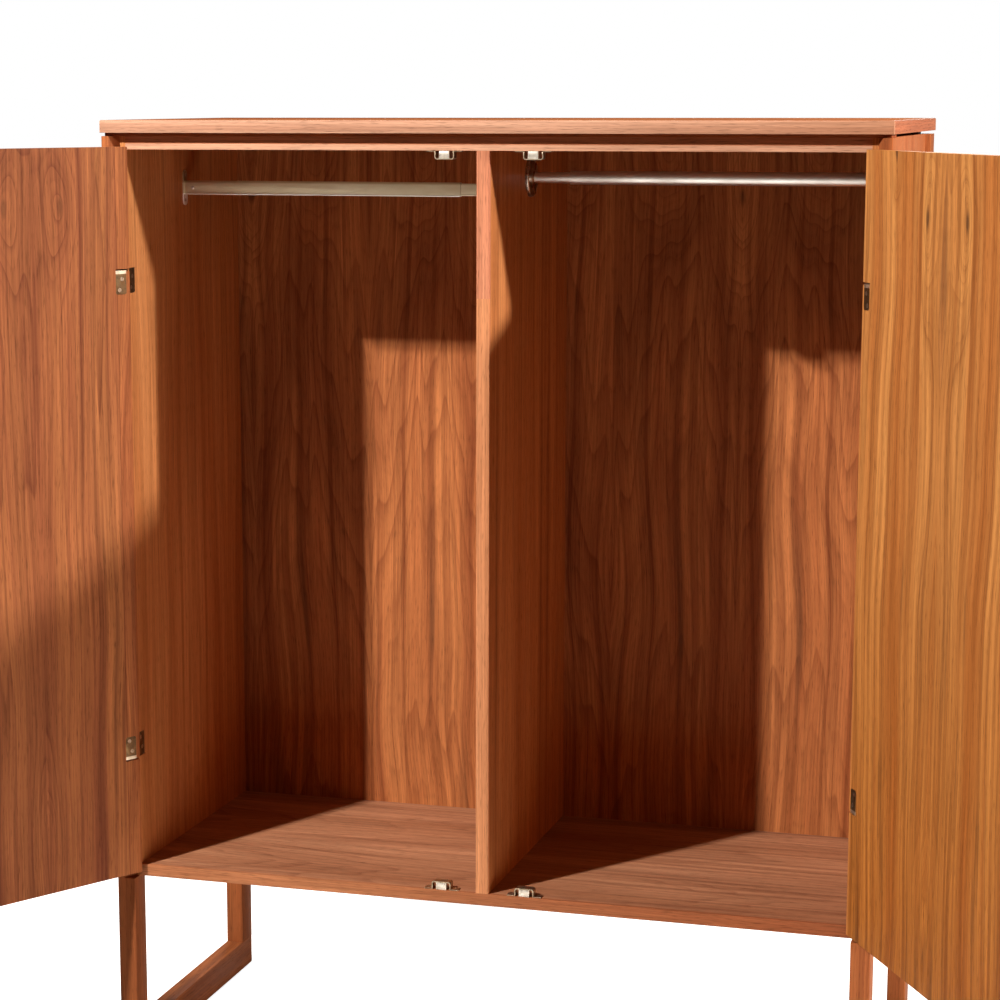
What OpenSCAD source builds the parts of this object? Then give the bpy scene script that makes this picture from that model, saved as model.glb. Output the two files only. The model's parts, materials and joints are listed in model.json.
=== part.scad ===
// Wardrobe with two doors on a sled base.
// A hanging case stands between four rebated legs that rest on two floor runners.
// Both doors turn on angle knife hinges and are stored open against the front legs.
// Frame: +Z up, the front faces -Y, origin on the floor under the middle of the
// open wardrobe's footprint. Millimetres.

/* [Overall] */
// Width over the top panel
top_w = 1197; // [1000:1:1400]
// Depth of the top panel
top_d = 522; // [500:1:560]
// Height from the floor to the top panel's face
total_h = 1495; // [1400:5:1600]

/* [Base] */
// Width of a leg, seen from the front
leg_w = 29.5; // [27:0.5:36]
// Depth of a front leg, seen from the side
front_leg_d = 41; // [36:1:46]
// Depth of a rear leg, seen from the side
rear_leg_d = 45; // [40:1:50]
// How far a front leg stands before the case
leg_proud = 20; // [19:1:26]
// Height of a floor runner
runner_h = 49; // [40:1:60]
// Height of the case's underside above the floor
under_h = 305; // [250:5:340]

/* [Case] */
// Thickness of a side panel
side_t = 22; // [20:1:24]
// Thickness of the corner tongue that a leg laps
tongue_t = 9.5; // [9:0.5:11]
// Thickness of the case top board
case_top_t = 20; // [18:1:24]
// Thickness of the case bottom board
case_bottom_t = 19; // [18:1:24]
// Thickness of the divider
divider_t = 20; // [18:1:24]
// Depth of the case from its front to its back
case_d = 480; // [470:1:490]
// Thickness of the back panel
back_t = 8; // [6:1:9]
// Thickness of the front lippings
lipping_t = 6; // [4:1:8]

/* [Top] */
// Thickness of the top panel
top_t = 19; // [18:1:22]
// Width of the top panel's edgings
edging_w = 8; // [6:1:12]
// Bevel along the top panel's upper arris
top_arris = 1.5; // [0.5:0.5:3]
// Height of the shadow gap under the top panel
shadow_gap = 5; // [3:1:8]

/* [Doors] */
// Thickness of a door
door_t = 17.5; // [17:0.5:18.5]
// Height of the case's underside below a door's lower end
door_reveal = 10; // [6:1:12]
// How far the doors are opened at rest, in degrees
door_open = 120; // [90:1:120]
// Gap between the two doors when they are shut
meeting_gap = 3; // [2:0.5:4]

/* [Hinges] */
// Height of a hinge leaf
leaf_h = 35; // [30:1:40]
// Width of a door leaf
leaf_w = 20; // [18:1:24]
// Distance from a door's end to the nearer hinge kerf
hinge_inset = 188; // [150:1:220]
// Thickness of the brass strip
brass_t = 1.5; // [1.2:0.1:1.6]

/* [Rails] */
// Height of the flat rail's outer section
flat_rail_h = 22; // [20:1:26]
// Outside diameter of the round rail's thick tube
thick_tube_d = 20.5; // [20:0.5:23]
// Outside diameter of the round rail's thin tube
thin_tube_d = 17; // [15:0.5:17]

/* [Hidden] */
$fn = 64;

walnut = [0.62, 0.36, 0.22];
door_wood = [0.76, 0.47, 0.30];
light_wood = [0.86, 0.60, 0.42];
inner_wood = [0.45, 0.22, 0.11];
brass = [0.76, 0.60, 0.36];
steel = [0.66, 0.64, 0.60];
chrome = [0.82, 0.82, 0.83];
nylon = [0.93, 0.92, 0.88];

// one saw-kerf of play, used where a cutter has to run past a face
over = 1;

// --- widths, from the middle outwards ---
top_end_overhang = 1.5;
side_setback = 9;
leg_out = top_w / 2 - top_end_overhang;
leg_in = leg_out - leg_w;
side_out = leg_out - side_setback;
side_in = side_out - side_t;
tongue_out = side_in + tongue_t;

// --- heights ---
glide_t = 3;
runner_top = glide_t + runner_h;
top_under = total_h - top_t;
case_top_z = top_under - shadow_gap;
case_ceiling = case_top_z - case_top_t;
case_floor = under_h + case_bottom_t;

// --- pivot of a door, measured from its own edge and faces ---
edge_gap = 1.5;
face_gap = 0.5;
pivot_from_edge = 5.3;
pivot_from_inner = 9.3;
pivot_from_outer = door_t - pivot_from_inner;
nose_r = pivot_from_inner + 0.1;
stop_gap = 0.35;
door_edge = tongue_out - edge_gap;
door_w = door_edge - meeting_gap / 2;
pivot_x = door_edge - pivot_from_edge;
pivot_ahead = face_gap + pivot_from_inner;

// --- depths; the case's front plane is set so that the open doors and the
//     top panel reach equally far from the origin ---
top_front_overhang = 22;
front_reach = pivot_ahead + (door_w - pivot_from_edge) * sin(door_open)
    - pivot_from_inner * cos(door_open);
back_reach = top_d - top_front_overhang;
front_y = (front_reach - back_reach) / 2;
case_back_y = front_y + case_d;
back_panel_y = case_back_y - back_t;
top_front_y = front_y - top_front_overhang;
top_back_y = top_front_y + top_d;
leg_front_y = front_y - leg_proud;
front_leg_back_y = leg_front_y + front_leg_d;
rear_leg_proud = 15;
leg_back_y = case_back_y + rear_leg_proud;
rear_leg_front_y = leg_back_y - rear_leg_d;
pivot_y = front_y - pivot_ahead;

// --- doors in height ---
door_lap = 4;
door_top = case_ceiling + door_lap;
door_bottom = under_h + door_reveal;
door_lipping = 10;

// --- hinges: the kerfs hold both blades, the leaves run towards the door's middle ---
blade_play = 0.4;
kerf_h = 2 * brass_t + 2 * blade_play;
// the case blade runs over the door blade, a strip and some play above the bend
blade_bottom = brass_t + blade_play;
eye_r = 4;
pin_r = 2;
pin_play = 0.05;
leaf_from_edge = 7.5;
leaf_corner = 4;
case_leaf_w = 21.6;
case_leaf_from_front = 4;
hinge_screw_head_r = 3.4;
door_screw_l = 13;
case_screw_l = 9;
// a hinge's bend line, and which way its leaf runs from there
upper_bend = door_top - hinge_inset;
lower_bend = door_bottom + hinge_inset;
BENDS = [[upper_bend, -1], [lower_bend, 1]];
// screw places on a door leaf: from the hinge edge, and from the bend line
DOOR_LEAF_SCREWS = [[leaf_from_edge + 8, 11.5], [leaf_from_edge + 13, 28.2]];
// screw places on a case leaf: from the case front, and from the bend line
CASE_LEAF_SCREWS = [[case_leaf_from_front + 13, 11.5], [case_leaf_from_front + 8, 28.2]];

// --- catches ---
catch_w = 30;
catch_ear_w = 54;
catch_h = 13;
catch_d = 15;
catch_wall = 1.5;
catch_set_back = 1.7;
magnet_w = 17;
magnet_d = 13;
magnet_proud = 0.6;
// the upper catches were set less evenly than the lower ones
lower_catch_x = 66;
upper_left_catch_x = 60;
upper_right_catch_x = 75;
catch_screw_x = (catch_w + catch_ear_w) / 4;
CATCHES = [
    [-upper_left_catch_x, -1], [upper_right_catch_x, -1],
    [-lower_catch_x, 1], [lower_catch_x, 1]
];
strike_w = 36;
strike_h = 10;
strike_t = 1.2;
small_head_r = 2.6;
small_screw_l = 12;

// --- rails ---
// how far each rail hangs before the middle of the case's depth
flat_rail_ahead = 5;
round_rail_ahead = 9;
flat_rail_y = front_y + case_d / 2 - flat_rail_ahead;
flat_rail_z = case_ceiling - 65;
flat_rail_t = 9;
flat_wall = 1.2;
flat_outer_end = -102;
flat_overlap = 90;
flat_bracket_h = 56;
flat_bracket_w = 16;
flat_bracket_t = 2;
round_rail_y = front_y + case_d / 2 - round_rail_ahead;
round_rail_z = case_ceiling - 45;
tube_wall = 1.5;
flange_d = 60;
flange_t = 6;
flange_rim_r = 3;
flange_dish = 1;
socket_d = 25;
socket_l = 14;
step_x = 75;
tube_overlap = 110;
flange_screw_r = 21.5;
rail_screw_l = 12;

// ------------------------------------------------------------------ helpers

// right-hand shape as drawn, left-hand shape mirrored
module on_side(side) {
    if (side < 0) mirror([1, 0, 0]) children();
    else children();
}

// plan outline raised from one height to another
module raise(z0, z1) {
    translate([0, 0, z0]) linear_extrude(z1 - z0) children();
}

// box between two corners
module block(a, b) {
    translate(a) cube(b - a);
}

// outline that hangs from y = 0: square where it starts, rounded at its far corners
module tongue_outline(width, height, corner) {
    difference() {
        translate([0, -height]) square([width, height]);
        for (x = [0, width])
            translate([x, -height]) difference() {
                square(2 * corner, center = true);
                translate([x > 0 ? -corner : corner, corner]) circle(corner);
            }
    }
}

// countersunk screw along +Z, its head's face at the origin and its tip below
module screw(head_r, length) {
    head_h = head_r * 0.7;
    shank_r = head_r * 0.45;
    translate([0, 0, -head_h]) cylinder(h = head_h, r1 = shank_r, r2 = head_r);
    translate([0, 0, -length]) cylinder(h = length - head_h, r = shank_r);
}

// a right-hand door's own parts, turned from shut to where the door stands at rest
module as_stored(side) {
    on_side(side)
        translate([pivot_x, pivot_y, 0]) rotate([0, 0, door_open]) translate([-pivot_x, -pivot_y, 0])
            children();
}

// ------------------------------------------------------------------ top panel

// end view of an edging: thickness outwards to the left, upper outer arris bevelled
module edging_profile(width) {
    polygon([
        [0, 0], [width, 0], [width, top_t], [top_arris, top_t], [0, top_t - top_arris]
    ]);
}

// edging that runs along X, its outer face on y = 0
module edging_along_x(length) {
    translate([-length / 2, 0, 0]) rotate([90, 0, 90]) linear_extrude(length) edging_profile(edging_w);
}

module top_panel() {
    color(light_wood)
        block([-top_w / 2 + edging_w, top_front_y + edging_w, top_under],
            [top_w / 2 - edging_w, top_back_y - edging_w, total_h]);
}

// long edgings are bevelled at both ends too
module top_edging_long() {
    difference() {
        edging_along_x(top_w);
        for (side = [-1, 1])
            translate([side * top_w / 2, 0, top_t]) rotate([0, 45, 0])
                cube([top_arris * sqrt(2), 2 * edging_w + over, top_arris * sqrt(2)], center = true);
    }
}

module top_edging_front() {
    color(light_wood) translate([0, top_front_y, top_under]) top_edging_long();
}

module top_edging_rear() {
    color(light_wood) translate([0, top_back_y, top_under]) mirror([0, 1, 0]) top_edging_long();
}

// end edging between two depths, its outer face on the top's right end
module end_edging(y0, y1) {
    translate([top_w / 2, y1, top_under]) rotate([90, 0, 0]) mirror([1, 0, 0])
        linear_extrude(y1 - y0) edging_profile(edging_w);
}

module top_edging_left() {
    color(light_wood) on_side(-1) end_edging(top_front_y + edging_w, top_back_y - edging_w);
}

// the right end is edged in two lengths that butt beside the rear leg
end_butt_y = top_back_y - 93;

module top_edging_right() {
    color(light_wood) end_edging(top_front_y + edging_w, end_butt_y);
}

module top_edging_right_tail() {
    color(light_wood) end_edging(end_butt_y, top_back_y - edging_w);
}

// strips that carry the top panel clear of the case
spacer_d = 40;
spacer_set_back = 2;
// the front spacer also bears on the legs, the rear one only on the case
front_spacer_ahead = 12;
front_spacer_x = leg_out - 3;
rear_spacer_x = side_in + 12;

module spacer(half_w, y0, y1) {
    color(walnut) block([-half_w, y0, case_top_z], [half_w, y1, top_under]);
}

module spacer_front() {
    spacer(front_spacer_x, front_y - front_spacer_ahead, front_y + spacer_d);
}

module spacer_rear() {
    back_y = case_back_y - spacer_set_back;
    spacer(rear_spacer_x, back_y - spacer_d, back_y);
}

// ------------------------------------------------------------------ case

// how deep the back panel is let into the sides, and into the top and bottom
side_rebate = 5;
board_rebate = 10;
back_top = case_ceiling + board_rebate;
back_bottom = case_floor - board_rebate;
back_half_w = side_in + side_rebate;
back_screw_head_r = 3.2;
back_screw_l = 20;

// the room that the back panel takes, open to the rear
module back_rebate() {
    block([-back_half_w, back_panel_y, back_bottom], [back_half_w, case_back_y + over, back_top]);
}

// places of the back panel's screws: a row along the top and the bottom board,
// and a shorter row up the divider
back_screw_gaps = 8;
divider_screw_gaps = 4;

module at_back_screws() {
    pitch_x = 2 * side_in / back_screw_gaps;
    pitch_z = (case_ceiling - case_floor) / divider_screw_gaps;
    for (i = [1 : back_screw_gaps - 1], z = [back_bottom + board_rebate / 2, back_top - board_rebate / 2])
        translate([-side_in + i * pitch_x, case_back_y, z]) rotate([-90, 0, 0]) children();
    for (i = [1 : divider_screw_gaps - 1])
        translate([0, case_back_y, case_floor + i * pitch_z]) rotate([-90, 0, 0]) children();
}

module back_screws() {
    color(steel) at_back_screws() screw(back_screw_head_r, back_screw_l);
}

module case_top() {
    color(walnut) difference() {
        block([-side_in, front_y + lipping_t, case_ceiling], [side_in, case_back_y, case_top_z]);
        back_rebate();
        back_screws();
        catch_screws();
    }
}

module case_bottom() {
    color(inner_wood) difference() {
        block([-side_in, front_y + lipping_t, under_h], [side_in, case_back_y, case_floor]);
        back_rebate();
        back_screws();
        catch_screws();
    }
}

module front_lipping(z0, z1) {
    color(light_wood) block([-side_in, front_y, z0], [side_in, front_y + lipping_t, z1]);
}

module case_top_lipping() {
    front_lipping(case_ceiling, case_top_z);
}

module case_bottom_lipping() {
    front_lipping(under_h, case_floor);
}

module divider() {
    color(walnut) difference() {
        block([-divider_t / 2, front_y + lipping_t, case_floor],
            [divider_t / 2, back_panel_y, case_ceiling]);
        back_screws();
        flat_rail_screws();
        round_rail_screws();
    }
}

// the divider's lipping is pieced from two lengths
splice_drop = 216;
splice_z = case_ceiling - splice_drop;

module divider_front(z0, z1) {
    color(light_wood) block([-divider_t / 2, front_y, z0], [divider_t / 2, front_y + lipping_t, z1]);
}

module divider_lipping() {
    divider_front(case_floor, splice_z);
}

module divider_lipping_upper() {
    divider_front(splice_z, case_ceiling);
}

module back_panel() {
    color(inner_wood) difference() {
        block([-back_half_w, back_panel_y, back_bottom], [back_half_w, case_back_y, back_top]);
        back_screws();
    }
}

// plan of a side panel: thinned to a tongue at both corners, where the legs lap it
module side_plan() {
    polygon([
        [side_in, front_y], [tongue_out, front_y],
        [tongue_out, front_leg_back_y], [side_out, front_leg_back_y],
        [side_out, rear_leg_front_y], [tongue_out, rear_leg_front_y],
        [tongue_out, case_back_y], [side_in, case_back_y]
    ]);
}

module side_panel(side) {
    color(walnut) on_side(side) difference() {
        raise(under_h, case_top_z) side_plan();
        back_rebate();
        at_bends() case_leaf_recess();
        at_bends() case_leaf_screws();
        if (side < 0) mirror([1, 0, 0]) flat_rail_screws();
        else round_rail_screws();
    }
}

module side_panel_left() {
    side_panel(-1);
}

module side_panel_right() {
    side_panel(1);
}

// ------------------------------------------------------------------ legs and runners

leg_arris = 1;
// the bevel beside the open door clears the door's rounded edge by the stop gap
bevel_reach = nose_r + stop_gap;
// where that bevel meets the leg's inner and front faces
bevel_back_y = pivot_y + (bevel_reach - (tongue_out - pivot_x) * cos(30)) / sin(30);
bevel_front_x = pivot_x + (bevel_reach - (leg_front_y - pivot_y) * sin(30)) / cos(30);

module front_leg_foot_plan() {
    polygon([
        [leg_in, leg_front_y], [leg_out - leg_arris, leg_front_y], [leg_out, leg_front_y + leg_arris],
        [leg_out, front_leg_back_y - leg_arris], [leg_out - leg_arris, front_leg_back_y],
        [leg_in, front_leg_back_y]
    ]);
}

// beside the case the leg laps the tongue and is bevelled as a rest for the open door
module front_leg_lap_plan() {
    polygon([
        [bevel_front_x, leg_front_y], [leg_out - leg_arris, leg_front_y],
        [leg_out, leg_front_y + leg_arris], [leg_out, front_leg_back_y - leg_arris],
        [leg_out - leg_arris, front_leg_back_y], [tongue_out, front_leg_back_y],
        [tongue_out, bevel_back_y]
    ]);
}

module front_leg(side) {
    color(walnut) on_side(side) {
        raise(runner_top, under_h) front_leg_foot_plan();
        raise(under_h, case_top_z) front_leg_lap_plan();
    }
}

module front_leg_left() {
    front_leg(-1);
}

module front_leg_right() {
    front_leg(1);
}

module rear_leg_plan(inner_x) {
    polygon([
        [inner_x, rear_leg_front_y], [leg_out - leg_arris, rear_leg_front_y],
        [leg_out, rear_leg_front_y + leg_arris], [leg_out, leg_back_y - leg_arris],
        [leg_out - leg_arris, leg_back_y], [inner_x, leg_back_y]
    ]);
}

module rear_leg(side) {
    color(walnut) on_side(side) {
        raise(runner_top, under_h) rear_leg_plan(leg_in);
        raise(under_h, case_top_z) rear_leg_plan(tongue_out);
    }
}

module rear_leg_left() {
    rear_leg(-1);
}

module rear_leg_right() {
    rear_leg(1);
}

glide_r = 10;
glide_inset = 30;

// a runner seen from the side, its lower corners eased where it slides over a floor
module runner_profile() {
    lead = 3;
    polygon([
        [leg_front_y, glide_t + lead], [leg_front_y + lead, glide_t],
        [leg_back_y - lead, glide_t], [leg_back_y, glide_t + lead],
        [leg_back_y, runner_top], [leg_front_y, runner_top]
    ]);
}

module runner(side) {
    color(walnut) on_side(side)
        translate([leg_in, 0, 0]) rotate([90, 0, 90]) linear_extrude(leg_w) runner_profile();
}

module runner_left() {
    runner(-1);
}

module runner_right() {
    runner(1);
}

module glides() {
    color(nylon)
        for (side = [-1, 1], y = [leg_front_y + glide_inset, leg_back_y - glide_inset])
            translate([side * (leg_in + leg_w / 2), y, 0]) cylinder(h = glide_t, r = glide_r);
}

// ------------------------------------------------------------------ hinges

// a hinge part drawn with its bend line on z = 0 and its leaf hanging below it
module at_bends() {
    for (bend = BENDS)
        translate([0, 0, bend[0]]) {
            if (bend[1] < 0) children();
            else mirror([0, 0, 1]) children();
        }
}

// plan of the straight case blade: round eye on the pivot, tail in the side panel's kerf
blade_tail_w = 3.4;
case_leaf_back = front_y + case_leaf_from_front + case_leaf_w;

module case_blade_plan() {
    translate([pivot_x, pivot_y]) circle(eye_r);
    polygon([
        [pivot_x - eye_r + 0.5, pivot_y], [side_in, front_y - face_gap], [side_in, case_leaf_back],
        [side_in + blade_tail_w, case_leaf_back], [side_in + blade_tail_w, front_y - face_gap],
        [pivot_x + eye_r - 0.5, pivot_y]
    ]);
}

// kerf of a disc cutter in the side panel's inner face, deepest near the front
module case_kerf_plan() {
    cutter_r = 50;
    depth = 6;
    translate([side_in - cutter_r + depth, front_y + 10]) circle(cutter_r, $fn = 128);
}

// case leaf: blade above, leaf let flush into the side panel
module case_leaf_blank() {
    translate([side_in, front_y + case_leaf_from_front, blade_bottom])
        rotate([90, 0, 90]) linear_extrude(brass_t) tongue_outline(case_leaf_w, leaf_h + blade_bottom, leaf_corner);
}

module case_leaf() {
    difference() {
        union() {
            case_leaf_blank();
            translate([0, 0, blade_bottom]) linear_extrude(brass_t) case_blade_plan();
        }
        translate([pivot_x, pivot_y, 0]) cylinder(h = 3 * blade_bottom, r = pin_r);
        case_leaf_screws();
    }
}

module case_leaf_screws() {
    for (place = CASE_LEAF_SCREWS)
        translate([side_in, front_y + place[0], -place[1] + blade_bottom]) rotate([0, -90, 0])
            screw(hinge_screw_head_r, case_screw_l);
}

module case_leaf_recess() {
    case_leaf_blank();
    translate([0, 0, blade_bottom]) linear_extrude(blade_bottom) case_kerf_plan();
}

// both sides and both heights of a hinge part
module at_hinges() {
    for (side = [-1, 1])
        on_side(side) at_bends() children();
}

module hinge_case_leaves() {
    color(brass) at_hinges() case_leaf();
}

module hinge_case_screws() {
    color(brass) at_hinges() case_leaf_screws();
}

// the pins are riveted into the case blades and turn in the door blades
module hinge_pins() {
    color(brass) at_hinges()
        translate([pivot_x, pivot_y, 0]) cylinder(h = kerf_h - blade_play, r = pin_r);
}

// door leaf, drawn on the shut right-hand door: blade above, leaf let flush into the door
door_inner_y = front_y - face_gap;
door_outer_y = door_inner_y - door_t;
leaf_outer_x = door_edge - leaf_from_edge;

module door_leaf_blank() {
    translate([leaf_outer_x, door_inner_y, 0]) rotate([90, 0, 0]) mirror([1, 0, 0])
        linear_extrude(brass_t) tongue_outline(leaf_w, leaf_h, leaf_corner);
}

module door_blade_plan() {
    translate([pivot_x, pivot_y]) circle(eye_r);
    polygon([
        [pivot_x, pivot_y + eye_r], [pivot_x + eye_r, pivot_y], [pivot_x, pivot_y - eye_r],
        [leaf_outer_x - leaf_w, door_inner_y - brass_t], [leaf_outer_x - leaf_w, door_inner_y],
        [leaf_outer_x, door_inner_y]
    ]);
}

module door_leaf() {
    difference() {
        union() {
            door_leaf_blank();
            linear_extrude(brass_t) door_blade_plan();
        }
        translate([pivot_x, pivot_y, -over]) cylinder(h = brass_t + 2 * over, r = pin_r + pin_play);
        door_leaf_screws();
    }
}

module door_leaf_screws() {
    for (place = DOOR_LEAF_SCREWS)
        translate([door_edge - place[0], door_inner_y, -place[1]]) rotate([-90, 0, 0])
            screw(hinge_screw_head_r, door_screw_l);
}

// kerf of a disc cutter across the door's hinge edge, longest on the inner face
module door_kerf_plan() {
    cutter_r = 51;
    translate([door_edge + 20, door_inner_y + 18.5]) circle(cutter_r, $fn = 128);
}

module door_hinge_cuts() {
    at_bends() {
        door_leaf_blank();
        linear_extrude(kerf_h) door_kerf_plan();
        door_leaf_screws();
    }
}

module hinge_door_leaves(side) {
    color(brass) as_stored(side) at_bends() door_leaf();
}

module hinge_door_leaves_left() {
    hinge_door_leaves(-1);
}

module hinge_door_leaves_right() {
    hinge_door_leaves(1);
}

module hinge_door_screws(side) {
    color(brass) as_stored(side) at_bends() door_leaf_screws();
}

module hinge_door_screws_left() {
    hinge_door_screws(-1);
}

module hinge_door_screws_right() {
    hinge_door_screws(1);
}

// ------------------------------------------------------------------ doors

// plan of the shut door's hinge edge: rounded about the pivot so that it turns
// clear of the case and of the leg
module door_nose_plan() {
    intersection() {
        translate([door_edge - door_lipping, door_outer_y]) square([door_lipping, door_t]);
        union() {
            translate([pivot_x, pivot_y]) circle(nose_r, $fn = 128);
            translate([door_edge - door_lipping, door_outer_y])
                square([door_lipping - pivot_from_edge, door_t]);
        }
    }
}

module door_hinge_lipping(side) {
    color(door_wood) as_stored(side) difference() {
        raise(door_bottom, door_top) door_nose_plan();
        door_hinge_cuts();
    }
}

module door_hinge_lipping_left() {
    door_hinge_lipping(-1);
}

module door_hinge_lipping_right() {
    door_hinge_lipping(1);
}

module door_panel(side) {
    color(door_wood) as_stored(side) difference() {
        block([meeting_gap / 2 + door_lipping, door_outer_y, door_bottom],
            [door_edge - door_lipping, door_inner_y, door_top]);
        door_hinge_cuts();
        knob_screw();
        strike_screws(side);
    }
}

module door_panel_left() {
    door_panel(-1);
}

module door_panel_right() {
    door_panel(1);
}

module door_free_lipping(side) {
    color(door_wood) as_stored(side)
        block([meeting_gap / 2, door_outer_y, door_bottom],
            [meeting_gap / 2 + door_lipping, door_inner_y, door_top]);
}

module door_free_lipping_left() {
    door_free_lipping(-1);
}

module door_free_lipping_right() {
    door_free_lipping(1);
}

// turned knob on the outer face, near the free edge
knob_from_edge = 34;
knob_l = 22;
knob_z = (door_bottom + door_top) / 2;
knob_pin_r = 4;
knob_pin_l = 10;

module at_knob() {
    translate([meeting_gap / 2 + knob_from_edge, door_outer_y, knob_z]) rotate([90, 0, 0]) children();
}

// half section of the knob: a spigot in the door, a waist and a domed head
module knob_section() {
    waist_r = 7;
    head_r = 13;
    difference() {
        union() {
            translate([0, -knob_pin_l]) square([knob_pin_r, knob_pin_l]);
            square([head_r, knob_l - 6]);
            intersection() {
                translate([0, knob_l - 40]) circle(40, $fn = 128);
                translate([0, knob_l - 6]) square([head_r, 6]);
            }
        }
        translate([waist_r + 8, 7]) circle(8);
    }
}

module door_knob(side) {
    color(walnut) as_stored(side) at_knob() rotate_extrude() knob_section();
}

module knob_screw() {
    at_knob() translate([0, 0, -knob_pin_l]) cylinder(h = knob_pin_l + over, r = knob_pin_r);
}

module door_knob_left() {
    door_knob(-1);
}

module door_knob_right() {
    door_knob(1);
}

// ------------------------------------------------------------------ catches and strikes

// a catch drawn under a ceiling at z = 0, its front face on y = 0
module at_catches() {
    for (place = CATCHES)
        translate([place[0], front_y + catch_set_back, place[1] < 0 ? case_ceiling : case_floor]) {
            if (place[1] < 0) children();
            else mirror([0, 0, 1]) children();
        }
}

// cross-section of the folded bridge: an ear on each side, open at the front and rear
module bridge_profile() {
    corner = 4;
    inner_w = catch_w - 2 * catch_wall;
    difference() {
        union() {
            translate([-catch_w / 2, 0]) tongue_outline(catch_w, catch_h, corner);
            translate([-catch_ear_w / 2, -catch_wall]) square([catch_ear_w, catch_wall]);
        }
        translate([-inner_w / 2, 0])
            tongue_outline(inner_w, catch_h - catch_wall, corner - catch_wall);
    }
}

module catch_body() {
    difference() {
        translate([0, catch_d, 0]) rotate([90, 0, 0]) linear_extrude(catch_d) bridge_profile();
        catch_screw_pair();
    }
}

// magnet between its pole plates, a little proud of the bridge, its front corners rounded
module catch_magnet() {
    translate([-magnet_w / 2, magnet_d - magnet_proud, -catch_h + catch_wall])
        linear_extrude(catch_h - catch_wall) tongue_outline(magnet_w, magnet_d, 1.5);
}

module catch_screw_pair() {
    for (x = [-catch_screw_x, catch_screw_x])
        translate([x, catch_d / 2, -catch_wall]) rotate([180, 0, 0]) screw(small_head_r, small_screw_l);
}

module catch_housings() {
    color(steel) at_catches() catch_body();
}

module catch_poles() {
    color(steel) at_catches() catch_magnet();
}

module catch_screws() {
    color(steel) at_catches() catch_screw_pair();
}

// strike plates on a door's inner face, one for each catch
module at_strikes(side) {
    upper_x = side < 0 ? upper_left_catch_x : upper_right_catch_x;
    for (place = [[lower_catch_x, case_floor + catch_h / 2], [upper_x, case_ceiling - catch_h / 2]])
        translate([place[0], door_inner_y, place[1]]) rotate([-90, 0, 0]) children();
}

module strike_screws(side) {
    at_strikes(side) translate([0, 0, strike_t]) screw(small_head_r, small_screw_l);
}

module strike_plates(side) {
    color(steel) as_stored(side) at_strikes(side) {
        translate([-strike_w / 2, -strike_h / 2, 0]) difference() {
            cube([strike_w, strike_h, strike_t]);
            translate([strike_w / 2, strike_h / 2, strike_t]) screw(small_head_r, small_screw_l);
        }
        translate([0, 0, strike_t]) screw(small_head_r, small_screw_l);
    }
}

module strike_plates_left() {
    strike_plates(-1);
}

module strike_plates_right() {
    strike_plates(1);
}

// ------------------------------------------------------------------ flat telescopic rail

// cross-section in depth and height: a flat channel, open at the back
module channel(depth, height, wall, lip) {
    difference() {
        translate([-depth / 2, -height / 2]) square([depth, height]);
        translate([-depth / 2 + wall, -height / 2 + wall]) square([depth - 2 * wall, height - 2 * wall]);
        translate([0, -height / 2 + lip]) square([depth, height - 2 * lip]);
    }
}

// rounded bead along the lower edge of a channel's face
bead_r = 1.2;

module bead(depth, height) {
    translate([-depth / 2, -height / 2 + bead_r]) circle(bead_r);
}

// rail section run along X between two places
module flat_run(x0, x1) {
    translate([x0, flat_rail_y, flat_rail_z]) rotate([90, 0, 90]) linear_extrude(x1 - x0) children();
}

flat_inner_play = 0.3;
flat_inner_h = flat_rail_h - 2 * (flat_wall + flat_inner_play);
flat_inner_t = flat_rail_t - 2 * (flat_wall + flat_inner_play);
flat_lip = 4.5;
flat_start = -side_in + flat_bracket_t;
flat_stop = -divider_t / 2 - flat_bracket_t;
tab_l = 26;
rivet_from_end = 14;
rivet_r = 1.6;
tab_t = 2;

module flat_rail_outer() {
    color(steel) difference() {
        flat_run(flat_start, flat_outer_end) {
            channel(flat_rail_t, flat_rail_h, flat_wall, flat_lip);
            bead(flat_rail_t, flat_rail_h);
        }
        rivet_at(flat_start + rivet_from_end);
    }
}

// the inner section is beaded only where it stands out of the outer one
module flat_rail_inner() {
    color(steel) difference() {
        union() {
            flat_run(flat_outer_end - flat_overlap, flat_stop)
                channel(flat_inner_t, flat_inner_h, flat_wall, flat_lip);
            flat_run(flat_outer_end + flat_inner_play, flat_stop) bead(flat_inner_t, flat_inner_h);
        }
        rivet_at(flat_stop - rivet_from_end);
    }
}

// end bracket: a plate on the panel, and a tab that reaches into the channel
module flat_bracket(face_x, out, tab_y) {
    color(steel) difference() {
        union() {
            translate([face_x, flat_rail_y, flat_rail_z]) rotate([0, out * 90, 0])
                linear_extrude(flat_bracket_t) bracket_outline();
            translate([face_x + out * tab_l / 2, tab_y, flat_rail_z])
                cube([tab_l, tab_t, flat_rail_h - 2 * flat_lip], center = true);
        }
        flat_rail_screws();
        rivet_at(face_x + out * (rivet_from_end + flat_bracket_t));
    }
}

// plate with round ends
module bracket_outline() {
    end_r = flat_bracket_w / 2;
    square([flat_bracket_h - flat_bracket_w, flat_bracket_w], center = true);
    for (x = [-1, 1])
        translate([x * (flat_bracket_h / 2 - end_r), 0]) circle(end_r);
}

outer_tab_y = flat_rail_y - flat_rail_t / 2 + flat_wall + tab_t / 2;
inner_tab_y = flat_rail_y - flat_inner_t / 2 + flat_wall + tab_t / 2;

module flat_rail_bracket_side() {
    flat_bracket(-side_in, 1, outer_tab_y);
}

module flat_rail_bracket_divider() {
    flat_bracket(-divider_t / 2, -1, inner_tab_y);
}

// hole for a rivet through the channel's face and the bracket's tab
module rivet_at(x) {
    translate([x, flat_rail_y - flat_rail_t / 2 - over, flat_rail_z]) rotate([-90, 0, 0])
        cylinder(h = flat_rail_t, r = rivet_r);
}

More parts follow.
